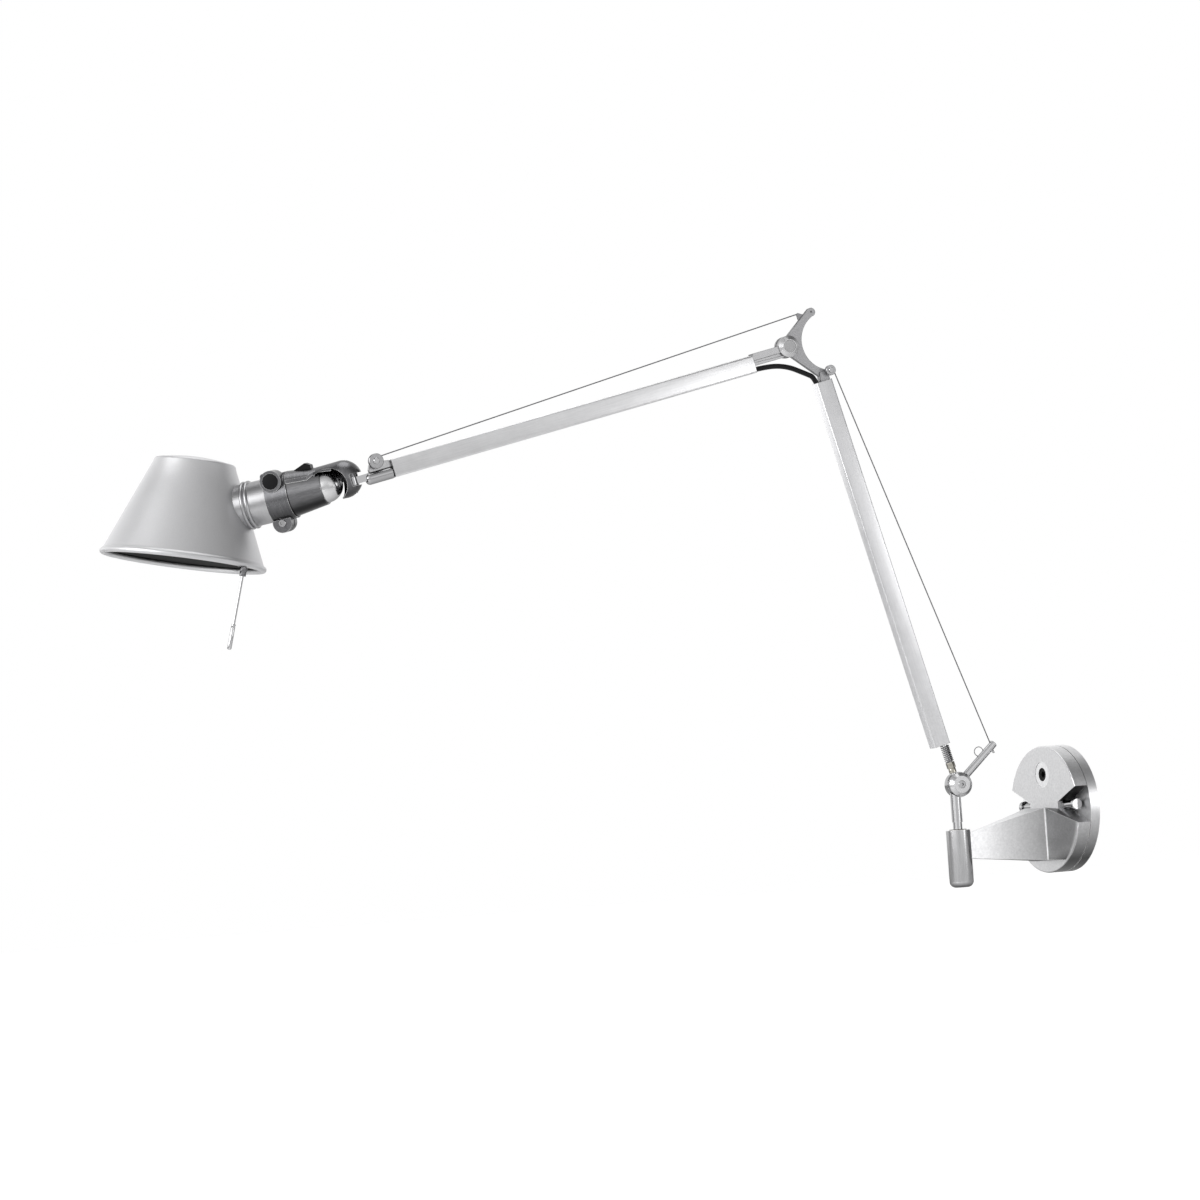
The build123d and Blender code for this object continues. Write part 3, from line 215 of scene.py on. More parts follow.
def draw_chain(name, points):
    """One vertex, extruded from point to point."""
    deselect()
    bpy.ops.mesh.primitive_plane_add(size=1)
    piece = bpy.context.object
    piece.name = name
    bpy.ops.object.mode_set(mode="EDIT")
    bpy.ops.mesh.merge(type="CENTER")
    bpy.ops.transform.translate(value=points[0])
    for before, after in zip(points, points[1:]):
        step = [b - a for a, b in zip(before, after)]
        bpy.ops.mesh.extrude_region_move(TRANSFORM_OT_translate={"value": step})
    bpy.ops.mesh.select_all(action="SELECT")
    return piece


def face_out():
    """In edit mode: turns all faces outwards and goes back to object mode."""
    bpy.ops.mesh.select_all(action="SELECT")
    bpy.ops.mesh.normals_make_consistent(inside=False)
    bpy.ops.object.mode_set(mode="OBJECT")


def spun(name, outline, steps=96):
    """A half outline of (along, radius) points, spun about local x.

    An outline that starts and ends away from the axis is closed into a ring."""
    points = [(x, 0, radius) for x, radius in outline]
    if min(outline[0][1], outline[-1][1]) > same_point:
        points.append(points[0])
    piece = draw_chain(name, points)
    bpy.ops.mesh.remove_doubles(threshold=same_point)
    bpy.ops.mesh.select_all(action="SELECT")
    bpy.ops.mesh.spin(steps=steps, angle=2 * math.pi, center=(0, 0, 0), axis=(1, 0, 0))
    bpy.ops.mesh.select_all(action="SELECT")
    bpy.ops.mesh.remove_doubles(threshold=same_point)
    face_out()
    return piece


def arc(centre, radius, start, stop, steps=8):
    """Points on an arc, for a rounded corner of an outline."""
    turns = [math.radians(start + (stop - start) * n / steps) for n in range(steps + 1)]
    return [(centre[0] + radius * math.cos(t), centre[1] + radius * math.sin(t)) for t in turns]


print("lathe ready")

# %% [markdown]
# ## Finishing and fitting
# Corners are softened by a Bevel modifier and holes are cut by a Boolean. Both are applied at once, so that
# the mesh holds what one sees. A finished piece goes to its place with its move applied, because its pattern
# reads the object's own coordinates.

# %% Bevel, cut and settle
def apply_all(piece):
    pick(piece)
    for modifier in list(piece.modifiers):
        bpy.ops.object.modifier_apply(modifier=modifier.name)


def bevelled(piece, width, angle=30):
    edge = piece.modifiers.new("edge", "BEVEL")
    edge.width, edge.segments = width, 2
    edge.limit_method, edge.angle_limit = "ANGLE", math.radians(angle)
    apply_all(piece)
    return piece


def cut(piece, cutter):
    saw = piece.modifiers.new("saw", "BOOLEAN")
    saw.object, saw.operation, saw.solver = cutter, "DIFFERENCE", "EXACT"
    apply_all(piece)
    bpy.data.objects.remove(cutter)


def settle(piece, place):
    """Takes a piece drawn in millimetres to its place in the lamp."""
    pick(piece)
    piece.matrix_world = place @ Matrix.Scale(0.001, 4)
    bpy.ops.object.transform_apply(location=True, rotation=True, scale=True)
    return piece


print("workshop ready")

# %% [markdown]
# ## Small helpers for shader nodes
# Real metal is never one flat colour, so every finish is a small tree of nodes. Placing each
# node by hand takes many lines. These helpers take either a socket or a plain value, and
# link or type it in, which keeps the recipes short enough to read.

# %% Node helpers
def plug(tree, socket, value):
    """Links a socket to another, or types a value into it."""
    if isinstance(value, bpy.types.NodeSocket):
        tree.links.new(value, socket)
    else:
        socket.default_value = value


def math_node(tree, operation, a, b):
    node = tree.nodes.new("ShaderNodeMath")
    node.operation = operation
    plug(tree, node.inputs[0], a)
    plug(tree, node.inputs[1], b)
    return node.outputs[0]


def colour_mix(tree, share, first, second, blend="MIX"):
    node = tree.nodes.new("ShaderNodeMix")
    node.data_type = "RGBA"
    node.blend_type = blend
    for number, value in ((0, share), (6, first), (7, second)):
        plug(tree, node.inputs[number], value)
    return node.outputs[2]


def grey(value):
    return (value, value, value, 1)


def grey_ramp(tree, share, stops):
    """Grey levels along a share from 0 to 1, given as (place, level)."""
    ramp = tree.nodes.new("ShaderNodeValToRGB")
    elements = ramp.color_ramp.elements
    for element, (place, value) in zip(elements, (stops[0], stops[-1])):
        element.position, element.color = place, grey(value)
    for place, value in stops[1:-1]:
        elements.new(place).color = grey(value)
    tree.links.new(share, ramp.inputs["Fac"])
    return ramp.outputs["Color"]


def new_group(name, inputs, outputs):
    tree = bpy.data.node_groups.new(name, "ShaderNodeTree")
    for label, kind, value in inputs:
        socket = tree.interface.new_socket(label, in_out="INPUT", socket_type="NodeSocket" + kind)
        if value is not None:
            socket.default_value = value
    for label, kind in outputs:
        tree.interface.new_socket(label, in_out="OUTPUT", socket_type="NodeSocket" + kind)
    return tree, tree.nodes.new("NodeGroupInput").outputs, tree.nodes.new("NodeGroupOutput").inputs


def place_group(tree, group, **values):
    """Puts a group into a material, with its inputs linked or typed in."""
    node = tree.nodes.new("ShaderNodeGroup")
    node.node_tree = group
    for label, value in values.items():
        plug(tree, node.inputs[label], value)
    return node.outputs


print("node helpers ready")

# %% [markdown]
# ## Grain
# Blasted, brushed and cast metal all show a fine grain. A noise texture mixes a light and a
# deeper tone, changes the roughness a little and gives a height for the bump. A picture of
# brushed metal could do this, but noise has no seams, and the material can stretch it along
# any arm.

# %% The grain group
deep_share = 0.35
grain, grain_in, grain_out = new_group(
    "metal_grain",
    [("Vector", "Vector", None), ("Scale", "Float", 900.0), ("Colour", "Color", grey(0.7)),
     ("Deep", "Color", grey(0.5)), ("Contrast", "Float", 0.5), ("Roughness", "Float", 0.3),
     ("Spread", "Float", 0.08)],
    [("Colour", "Color"), ("Roughness", "Float"), ("Height", "Float")],
)
fine = grain.nodes.new("ShaderNodeTexNoise")
fine.inputs["Detail"].default_value = 4
fine.inputs["Roughness"].default_value = 0.65
plug(grain, fine.inputs["Vector"], grain_in["Vector"])
plug(grain, fine.inputs["Scale"], grain_in["Scale"])
centred = math_node(grain, "SUBTRACT", fine.outputs["Fac"], 0.5)
deeper = math_node(grain, "ADD", math_node(grain, "MULTIPLY", centred, grain_in["Contrast"]), deep_share)
plug(grain, grain_out["Colour"], colour_mix(grain, deeper, grain_in["Colour"], grain_in["Deep"]))
uneven = math_node(grain, "MULTIPLY", centred, grain_in["Spread"])
plug(grain, grain_out["Roughness"], math_node(grain, "ADD", uneven, grain_in["Roughness"]))
plug(grain, grain_out["Height"], fine.outputs["Fac"])
print("grain inputs:", [socket.name for socket in grain_in][:-1])

# %% [markdown]
# ## Painted edge lines
# Edges get painted light or shade: a painted highlight, or a painted dark line where a slightly round corner
# would mirror the dark room. The Bevel node pretends that corners are rounded. Where its normal differs from
# the true one there is an edge, and that difference is the mask. Painting the edges would have to be done
# again after each change of shape.

# %% The painted edge light group
edge_light, edge_light_in, edge_light_out = new_group(
    "painted_edge_light", [("Radius", "Float", 0.0006), ("Strength", "Float", 4.0)], [("Mask", "Float")]
)
rounded = edge_light.nodes.new("ShaderNodeBevel")
rounded.samples = 4
plug(edge_light, rounded.inputs["Radius"], edge_light_in["Radius"])
shape = edge_light.nodes.new("ShaderNodeNewGeometry")
match = edge_light.nodes.new("ShaderNodeVectorMath")
match.operation = "DOT_PRODUCT"
plug(edge_light, match.inputs[0], rounded.outputs["Normal"])
plug(edge_light, match.inputs[1], shape.outputs["Normal"])
gap = math_node(edge_light, "SUBTRACT", 1.0, match.outputs["Value"])
amount = math_node(edge_light, "MULTIPLY", gap, edge_light_in["Strength"])
plug(edge_light, edge_light_out["Mask"], math_node(edge_light, "MINIMUM", amount, 1.0))
print("edge nodes:", len(edge_light.nodes))

# %% [markdown]
# ## Handling marks
# A lamp arm is pushed about by hand, so its gloss has soft cloudy smudges. A large noise
# around zero is added to the roughness and, faintly, to the colour of each finish.

# %% The handling group
marks, marks_in, marks_out = new_group(
    "handling_marks",
    [("Vector", "Vector", None), ("Scale", "Float", 60.0), ("Amount", "Float", 0.1)],
    [("Value", "Float")],
)
cloud = marks.nodes.new("ShaderNodeTexNoise")
cloud.inputs["Detail"].default_value = 5
cloud.inputs["Roughness"].default_value = 0.7
plug(marks, cloud.inputs["Vector"], marks_in["Vector"])
plug(marks, cloud.inputs["Scale"], marks_in["Scale"])
around_zero = math_node(marks, "SUBTRACT", cloud.outputs["Fac"], 0.5)
plug(marks, marks_out["Value"], math_node(marks, "MULTIPLY", around_zero, marks_in["Amount"]))
print("node groups:", [group.name for group in bpy.data.node_groups])

# %% [markdown]
# ## Painted shade and reflections that follow the form
# Polished metal in a white studio shows dark outlines, because its edges mirror the dark sides of the room,
# and darker undersides. A few white walls and black cards round the lamp could do that for one view only.
# Here they are painted: the colour itself falls where the surface turns away from the eye, as a painted dark
# reflection, or looks down, as painted shade, so it also holds when the lamp moves. On the bracket arm,
# painted light and shade are also laid in bands by distance from the wall.

# %% Tones
zone_start, zone_length = -160, 160
darkest_below = 0.08
outline_power, outline_colour = 1.05, grey(0.02)


def painted_shade_below(tree, strength):
    """Painted shade, which falls where the surface looks down."""
    surface = tree.nodes.new("ShaderNodeNewGeometry")
    parts = tree.nodes.new("ShaderNodeSeparateXYZ")
    tree.links.new(surface.outputs["Normal"], parts.inputs[0])
    downward = math_node(tree, "MULTIPLY", parts.outputs["Z"], -1.0)
    downward = math_node(tree, "MAXIMUM", downward, 0.0)
    left = math_node(tree, "SUBTRACT", 1.0, math_node(tree, "MULTIPLY", downward, strength))
    return math_node(tree, "MAXIMUM", left, darkest_below)


def painted_light_from_wall(tree, where, painted_bands):
    """Painted light and shade, as grey levels at distances from the wall, given as (x in millimetres, level).
    """
    parts = tree.nodes.new("ShaderNodeSeparateXYZ")
    tree.links.new(where, parts.inputs[0])
    from_start = math_node(tree, "SUBTRACT", parts.outputs["X"], zone_start / 1000)
    share = math_node(tree, "MULTIPLY", from_start, 1000 / zone_length)
    return grey_ramp(tree, share, [((x - zone_start) / zone_length, value) for x, value in painted_bands])


def painted_dark_outline(tree, colour, strength):
    """Painted dark reflection: darkens the colour where the surface turns away from the eye."""
    grazing = tree.nodes.new("ShaderNodeLayerWeight")
    grazing.inputs["Blend"].default_value = 0.5
    steep = math_node(tree, "POWER", grazing.outputs["Facing"], outline_power)
    return colour_mix(tree, math_node(tree, "MULTIPLY", steep, strength), colour, outline_colour)


print("tones ready")

# %% [markdown]
# ## One recipe for every finish
# Each finish is the same shader with other values: grain laid along the piece's own axis, smudges over it,
# the painted shade and painted reflections from above, and painted light or dark lines on the edges. One
# function keeps them alike. A separate tree for each of thirty finishes would soon drift apart.

# %% The recipe
smudge_on_colour, smudge_level = 1.2, 0.97
grain_depth = 0.00005


def laid(tree, where, place, stretch):
    """Object coordinates in the axes of a place, stretched along them."""
    lay = tree.nodes.new("ShaderNodeMapping")
    lay.vector_type = "TEXTURE"
    if place is not None:
        lay.inputs["Location"].default_value = place.translation
        lay.inputs["Rotation"].default_value = place.to_euler()
    lay.inputs["Scale"].default_value = stretch
    tree.links.new(where, lay.inputs["Vector"])
    return lay.outputs["Vector"]


def finish(
    name, colour, deep, roughness, place=None, stretch=(1, 1, 1), scale=700.0, contrast=0.6, bump=0.15,
    metal=1.0, coat=0.0, smudge=0.12, smudge_scale=70.0, edge=0.0, edge_radius=0.0005, edge_tone=0.95,
    outline=0.0, underside_shade=0.0, painted_bands=(),
):
    material = bpy.data.materials.new(name)
    material.use_nodes = True
    tree = material.node_tree
    shader = tree.nodes["Principled BSDF"]
    where = tree.nodes.new("ShaderNodeTexCoord").outputs["Object"]
    weave = place_group(
        tree, grain, Vector=laid(tree, where, place, stretch), Scale=scale, Colour=(*colour, 1),
        Deep=(*deep, 1), Contrast=contrast, Roughness=roughness,
    )
    touched = place_group(tree, marks, Vector=where, Scale=smudge_scale, Amount=smudge)["Value"]
    smudged = math_node(tree, "ADD", math_node(tree, "MULTIPLY", touched, smudge_on_colour), smudge_level)
    surface = colour_mix(tree, 1.0, weave["Colour"], smudged, "MULTIPLY")
    # Painted shade on faces that look down.
    if underside_shade:
        surface = colour_mix(tree, 1.0, surface, painted_shade_below(tree, underside_shade), "MULTIPLY")
    # Painted light and shade in bands by distance from the wall.
    if painted_bands:
        surface = colour_mix(tree, 1.0, surface, painted_light_from_wall(tree, where, painted_bands), "MULTIPLY")
    # Painted highlights or painted dark lines on the edges, in the edge tone.
    if edge:
        mask = place_group(tree, edge_light, Radius=edge_radius, Strength=edge)["Mask"]
        surface = colour_mix(tree, mask, surface, grey(edge_tone))
    # A painted dark reflection where the surface turns away from the eye.
    if outline:
        surface = painted_dark_outline(tree, surface, outline)
    plug(tree, shader.inputs["Base Color"], surface)
    plug(tree, shader.inputs["Roughness"], math_node(tree, "ADD", weave["Roughness"], touched))
    shader.inputs["Metallic"].default_value = metal
    shader.inputs["Coat Weight"].default_value = coat
    shader.inputs["Specular IOR Level"].default_value = 0.5 if metal else 0.2
    relief = tree.nodes.new("ShaderNodeBump")
    relief.inputs["Strength"].default_value = bump
    relief.inputs["Distance"].default_value = grain_depth
    tree.links.new(weave["Height"], relief.inputs["Height"])
    tree.links.new(relief.outputs["Normal"], shader.inputs["Normal"])
    return material


def cool(value):
    """The grey of bare metal, with a trace of blue."""
    return (value, value, value + 0.01)


def plain(value):
    return (value, value, value)


print("recipe ready")

# %% [markdown]
# ## Wall mount, stem and lower joint
# The plate and arm are blasted aluminium castings: bright, with a soft grain. The arm gets painted shade that
# darkens it towards the wall, and a painted highlight as a bright ridge where its side meets the plate.
# Plate, arm and socket also get painted shade on their undersides. The arm's socket is turned and polished,
# and so are the stem, the lever and the round joint. Brass, spring steel and wire are the only small parts
# with a tone of their own.

# %% Finishes of the mount
# Painted light and shade along the arm, by distance from the wall: darker towards the wall, a painted
# highlight at the ridge, and painted shade on the face behind it.
arm_painted_bands = (
    (-160, 1.0), (-112, 1.0), (-66, 0.80), (-42.6, 0.60), (-42.4, 1.25), (-41.6, 1.25), (-41.4, 0.34),
    (-29.2, 0.42), (-28.3, 1.0),
)
satin_disc = finish(
    "satin_disc", cool(0.90), cool(0.66), 0.34, scale=260, contrast=1.2, smudge=0.14,
    edge=5, edge_radius=0.0008, underside_shade=1.15)
satin_bracket = finish(
    "satin_bracket", cool(0.92), cool(0.62), 0.34, scale=380, contrast=1.3, smudge=0.18,
    edge=8, edge_radius=0.0008, underside_shade=1.15, painted_bands=arm_painted_bands)
polished_socket = finish(
    "polished_socket", cool(0.88), cool(0.50), 0.17, place=socket_frame, stretch=(1, 1, 14),
    scale=600, contrast=1.2, smudge=0.08, outline=1.0, underside_shade=0.9)
polished_steel = finish(
    "polished_steel", cool(0.80), cool(0.62), 0.12, scale=500, contrast=0.5, smudge=0.07,
    edge=4, edge_radius=0.0003, outline=1.0)
joint_disc = finish(
    "joint_disc", cool(0.86), cool(0.66), 0.22, place=joint_frame, stretch=(1, 12, 1), scale=500,
    edge=6, edge_radius=0.0007, edge_tone=0.04, outline=1.0)
pale_brass = finish(
    "pale_brass", (0.62, 0.60, 0.54), (0.40, 0.38, 0.32), 0.24, scale=800,
    edge=3, edge_radius=0.0003, outline=0.9)
spring_steel = finish("spring_steel", cool(0.34), cool(0.08), 0.26, scale=1500, contrast=0.8, outline=1.0)
wire_steel = finish("wire_steel", cool(0.40), cool(0.18), 0.32, scale=1800, contrast=0.9, outline=0.8)
screw_steel = finish(
    "screw_steel", cool(0.66), cool(0.38), 0.22, scale=900, contrast=0.7,
    edge=4, edge_radius=0.0003, outline=0.9)
dark_screw = finish(
    "dark_screw", cool(0.34), cool(0.16), 0.20, scale=900, contrast=0.8,
    edge=6, edge_radius=0.0004, outline=1.0)
black_oxide = finish("black_oxide", plain(0.008), plain(0.004), 0.55, scale=900, metal=0.0)
bush_polymer = finish("bush_polymer", (0.20, 0.19, 0.17), (0.12, 0.11, 0.10), 0.38, scale=900, metal=0.0)
print("finishes:", len(bpy.data.materials))

# %% [markdown]
# ## Arms and elbow
# The tubes are drawn aluminium, brushed along their length, so the grain is stretched in each arm's own
# frame. Their corners get painted dark lines against white, where rounded corners would mirror the dark room.
# The elbow bracket is a rough grey casting, while caps, wheels and fork are machined, and their edges and
# outlines are painted darker too.

# %% Finishes of the arms
# Grain settings, plus the painted dark lines on the tube corners.
tube_brush_and_painted_edges = {"stretch": (26, 1, 1), "scale": 900, "contrast": 0.9, "smudge": 0.16,
              "edge": 7, "edge_radius": 0.0010, "edge_tone": 0.10}
brushed_lower = finish("brushed_lower", cool(0.88), (0.68, 0.68, 0.70), 0.36, place=lower_frame, **tube_brush_and_painted_edges)
brushed_upper = finish("brushed_upper", cool(0.88), cool(0.64), 0.36, place=upper_frame, **tube_brush_and_painted_edges)
cast_grey = finish(
    "cast_grey", cool(0.56), cool(0.34), 0.50, scale=900, contrast=1.1, bump=0.35, smudge=0.1,
    edge=6, edge_radius=0.0008, edge_tone=0.14, outline=0.6)
cap_centre = finish("cap_centre", cool(0.54), plain(0.40), 0.50, scale=900, contrast=0.7, bump=0.2)
cap_bevel = finish(
    "cap_bevel", cool(0.84), cool(0.62), 0.24, place=hub_frame, stretch=(1, 10, 1), scale=600,
    contrast=0.7, edge=4, edge_radius=0.0006, edge_tone=0.12, outline=0.7)
wheel_metal = finish(
    "wheel_metal", cool(0.58), cool(0.34), 0.26, contrast=0.8,
    edge=6, edge_radius=0.0006, edge_tone=0.08, outline=1.0)
fork_satin = finish(
    "fork_satin", cool(0.72), cool(0.46), 0.28, place=upper_frame, stretch=(14, 1, 1), contrast=0.8,
    edge=7, edge_radius=0.0009, edge_tone=0.06, outline=0.9)
black_cable = finish(
    "black_cable", (0.006, 0.006, 0.007), plain(0.003), 0.3, scale=900, metal=0.0, contrast=0.5,
    smudge=0.1, coat=0.1)
print("finishes:", len(bpy.data.materials))

# %% [markdown]
# ## Head and shade
# The head's bracket and housing have a metal much darker than all the rest, with painted shade on their
# undersides, chrome at the swivel and a bright dome. The shade is anodised: matt, with a very fine grain. Its
# inside gets painted shade: a nearly black material where no light reaches.

# %% Finishes of the head
mirror_chrome = finish(
    "mirror_chrome", cool(0.60), cool(0.48), 0.06, scale=400, contrast=0.3, smudge=0.05, bump=0.03,
    outline=1.0)
head_metal = finish(
    "head_metal", cool(0.30), cool(0.12), 0.28, place=head_frame, stretch=(1, 8, 8), scale=500,
    contrast=1.1, smudge=0.2, edge=9, edge_radius=0.0007, outline=0.8, underside_shade=0.8)
housing_metal = finish(
    "housing_metal", cool(0.40), cool(0.14), 0.22, place=head_frame, stretch=(9, 1, 1), scale=420,
    contrast=1.2, smudge=0.24, outline=0.9, underside_shade=1.2)
dome_metal = finish("dome_metal", cool(0.92), cool(0.70), 0.20, scale=500, smudge=0.08, outline=0.9)
shade_satin = finish(
    "shade_satin", cool(0.74), cool(0.56), 0.50, scale=1300, contrast=0.8, bump=0.14, smudge=0.06,
    smudge_scale=30)
neck_satin = finish(
    "neck_satin", cool(0.58), cool(0.40), 0.30, place=head_frame, stretch=(1, 6, 6), scale=600,
    contrast=0.8, smudge=0.08, edge=4, outline=0.5)
# Painted shade for the inside of the lampshade.
painted_dark_inside = finish("painted_dark_inside", plain(0.05), plain(0.025), 0.6, scale=900, contrast=0.8, metal=0.2)
black_plastic = finish(
    "black_plastic", (0.006, 0.006, 0.007), plain(0.003), 0.36, scale=900, metal=0.0, contrast=0.5,
    bump=0.1)
holder_black = finish("holder_black", plain(0.02), plain(0.01), 0.45, scale=900, metal=0.0)
holder_brass = finish("holder_brass", (0.80, 0.66, 0.36), (0.55, 0.42, 0.18), 0.25, scale=900)
print("finishes:", len(bpy.data.materials))

# %% [markdown]
# ## Coating the solids
# Many solids already have the right form, and only need their surface. The new pieces need more: smooth
# shading, a body to ride on, and the solid that they stand for, which is hidden.

# %% Dress a piece, or coat a solid
def surfaced(piece, material, angle):
    pick(piece)
    bpy.ops.object.shade_smooth_by_angle(angle=math.radians(angle))
    piece.data.materials.clear()
    piece.data.materials.append(material)


def dress(piece, material, body, slot, *replaced, angle=35):
    """Gives a finished piece its surface, its body and the solids that it stands for."""
    surfaced(piece, material, angle)
    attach(piece, body)
    if replaced:
        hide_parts(*replaced)
    print(piece.name, len(piece.data.polygons), "faces on", body)


def coat_solid(material, *names):
    for name in names:
        for slot in solids[name].material_slots:
            slot.material = material


coat_solid(satin_disc, "wall_plate")
coat_solid(satin_bracket, "bracket_arm")
coat_solid(polished_steel, "stem", "hinge_bolt", "hinge_nut")
coat_solid(black_oxide, "levelling_screw")
coat_solid(bush_polymer, "socket_bush")
coat_solid(wire_steel, "wire_eye", "wire_hook")
coat_solid(joint_disc, "rod_end")
coat_solid(screw_steel, "joint_screw", "roller_screw", "pulley_screw", "hub_pin", "head_pin")
coat_solid(screw_steel, "clamp_screw", "clamp_nut")
coat_solid(cast_grey, "elbow_bracket")
coat_solid(fork_satin, "upper_fork", "end_fitting")
coat_solid(mirror_chrome, "swivel_neck")
coat_solid(head_metal, "hood_bracket", "clamp_ring")
coat_solid(neck_satin, "shade_neck")
coat_solid(black_plastic, "lower_plug", "cable_inlet")
print("coated solids done")

# %% [markdown]
# ## The socket
# The stem turns in a round socket at the arm's end. On the real lamp it is polished, while
# the arm is only blasted. A second material on some of the solid's faces would do, but the
# solid is left as it is, so a thin turned sleeve lies over the cast form.

# %% Socket sleeve
socket_mouth, socket_radius, sleeve_inside, foot_round = -16.05, 13.7, 12.6, 7.05
sleeve_outline = [(socket_mouth, sleeve_inside), (socket_mouth, 13.1), (-16.6, socket_radius)]
sleeve_outline += arc((-73.5, socket_radius - foot_round), foot_round, 90, 180, 9)
sleeve_outline += [(-80.55, 0.0), (-79.6, 0.0), (-79.6, 6.0), (-76.0, 10.6), (-72.0, sleeve_inside)]
sleeve = spun("socket_sleeve", sleeve_outline)
dress(settle(sleeve, socket_frame @ upright), polished_socket, "bracket", "satin_bracket")

# %% [markdown]
# ## Square tubes
# Both arms are drawn aluminium tube. A cube is stretched to size, its two ends are deleted,
# and its four long edges are rounded. Solidify gives the wall, and a fine bevel lets the
# ends catch a bright line. A curve with a bevel profile would need a second object.

# %% Tubes
tube_width, tube_height, tube_round, tube_wall, tube_edge = 17.0, 20.0, 2.2, 1.3, 0.15


def square_tube(name, start, length, drop):
    deselect()
    bpy.ops.mesh.primitive_cube_add(size=1)
    tube = bpy.context.object
    tube.name = name
    bpy.ops.transform.resize(value=(length, tube_width, tube_height))
    bpy.ops.transform.translate(value=(start + length / 2, 0, -drop))
    bpy.ops.object.transform_apply(location=True, rotation=False, scale=True)
    pick_parts(tube, "FACE", lambda face: abs(face.normal.x) > 0.9)
    bpy.ops.mesh.delete(type="FACE")

    def runs_along(edge):
        near, far = (tube.data.vertices[n].co.x for n in edge.vertices)
        return abs(near - far) > 1

    pick_parts(tube, "EDGE", runs_along)
    bpy.ops.mesh.bevel(offset=tube_round, segments=5)
    bpy.ops.mesh.select_mode(type="VERT")
    face_out()
    wall = tube.modifiers.new("wall", "SOLIDIFY")
    wall.thickness, wall.offset = tube_wall, -1
    apply_all(tube)
    return bevelled(tube, tube_edge, 50)


lower_tube = square_tube("lower_square_tube", 48.5, 430, 7.4)
dress(settle(lower_tube, lower_frame), brushed_lower, "lower_arm", "brushed_tube", "lower_tube")
upper_tube = square_tube("upper_square_tube", 45, 436, tube_drop)
dress(settle(upper_tube, upper_frame), brushed_upper, "upper_arm", "brushed_tube", "upper_tube")

# %% [markdown]
# ## Tension lever
# A round lever leans back from the lower joint and holds the balance wire, which is crimped
# where it goes through. Both are turned parts, so both are spun from half an outline.

# %% Lever and crimp
lever_outline = [(7, 0), (7, 3), (14.7, 3), (14.7, 3.6), (15.4, 4.3), (64.2, 4.3), (65.0, 3.5), (65.0, 0)]
lever_place = joint_frame @ turned(lower_lean - 62, "Y") @ shift(0, -4.55, 0)
lever = spun("round_lever", lever_outline, steps=48)
dress(settle(lever, lever_place), polished_steel, "stem", "polished_steel", "tension_lever")
crimp_outline = [(-2.6, 0), (-2.6, 0.9), (-1.8, 1.25), (1.4, 1.25), (2.4, 0.75), (2.4, 0)]
crimp = spun("wire_crimp", crimp_outline, steps=24)
wire_hole = 57
dress(settle(crimp, lever_place @ shift(wire_hole, 0, 5.2) @ upright), screw_steel, "stem", "screw_steel")

# %% [markdown]
# ## Ferrule
# Below the tube a brass ferrule clamps the rod: a hexagon for the spanner and a turned
# collar. A cylinder with six sides is already a hexagon, and a bevel softens its corners.

# %% Ferrule
rod_place = lower_frame @ shift(0, 2, -3.2)


def hexagon(name, radius, height, soft):
    deselect()
    bpy.ops.mesh.primitive_cylinder_add(vertices=6, radius=radius, depth=height)
    piece = bpy.context.object
    piece.name = name
    return bevelled(piece, soft)


ferrule_nut = hexagon("ferrule_hexagon", 5.196, 6.9, 0.35)
nut_place = rod_place @ shift(24.05, 0, 0) @ turned(90, "Y")
dress(settle(ferrule_nut, nut_place), pale_brass, "lower_arm", "pale_brass", "ferrule")
collar_outline = [(15, 2.61), (15, 3.8), (15.5, 4.25), (20.2, 4.25), (20.7, 3.9), (20.7, 2.61)]
collar = spun("ferrule_collar", collar_outline, steps=48)
dress(settle(collar, rod_place), pale_brass, "lower_arm", "pale_brass")

# %% [markdown]
# ## Spring
# A short coil spring sits on the rod, between ferrule and tube. The Screw modifier carries a
# ring of wire round and up at once. A curve wound as a helix would do too, but its section
# twists on the way.

# %% Coil spring
def close_ends(piece):
    pick(piece)
    bpy.ops.object.mode_set(mode="EDIT")
    bpy.ops.mesh.select_all(action="SELECT")
    bpy.ops.mesh.fill_holes(sides=0)
    face_out()


def coil(name, radius, wire, pitch, turns, steps=36):
    """A ring of wire beside the axis, carried round and up by a Screw modifier."""
    deselect()
    bpy.ops.mesh.primitive_circle_add(
        vertices=14, radius=wire, fill_type="NOTHING", rotation=(math.pi / 2, 0, 0)
    )
    ring = bpy.context.object
    ring.name = name
    bpy.ops.transform.translate(value=(radius, 0, 0))
    bpy.ops.object.transform_apply(location=True, rotation=True, scale=True)
    path = ring.modifiers.new("path", "SCREW")
    path.axis, path.angle, path.screw_offset = "Z", 2 * math.pi * turns, pitch * turns
    path.steps = path.render_steps = steps * turns
    apply_all(ring)
    close_ends(ring)
    return ring


spring = coil("coil_spring", 4.5, 0.65, 2.1, 9)
spring_place = rod_place @ shift(28.25, 0, 0) @ turned(90, "Y")
dress(settle(spring, spring_place), spring_steel, "lower_arm", "spring_steel", "base_spring")

# %% [markdown]
# ## Balance wires
# Each arm has a thin stranded wire. Real strands would be a heavy mesh for a thread of 1.4 mm. Instead a
# six-lobed outline is twisted as it is pulled, which gives the lay of the strands. The wire runs straight
# from one body to the point where it meets the next.

# %% Twisted wire
wire_radius, lay_length, steps_per_lay, lobe_depth = 0.72, 9.0, 9, 0.72


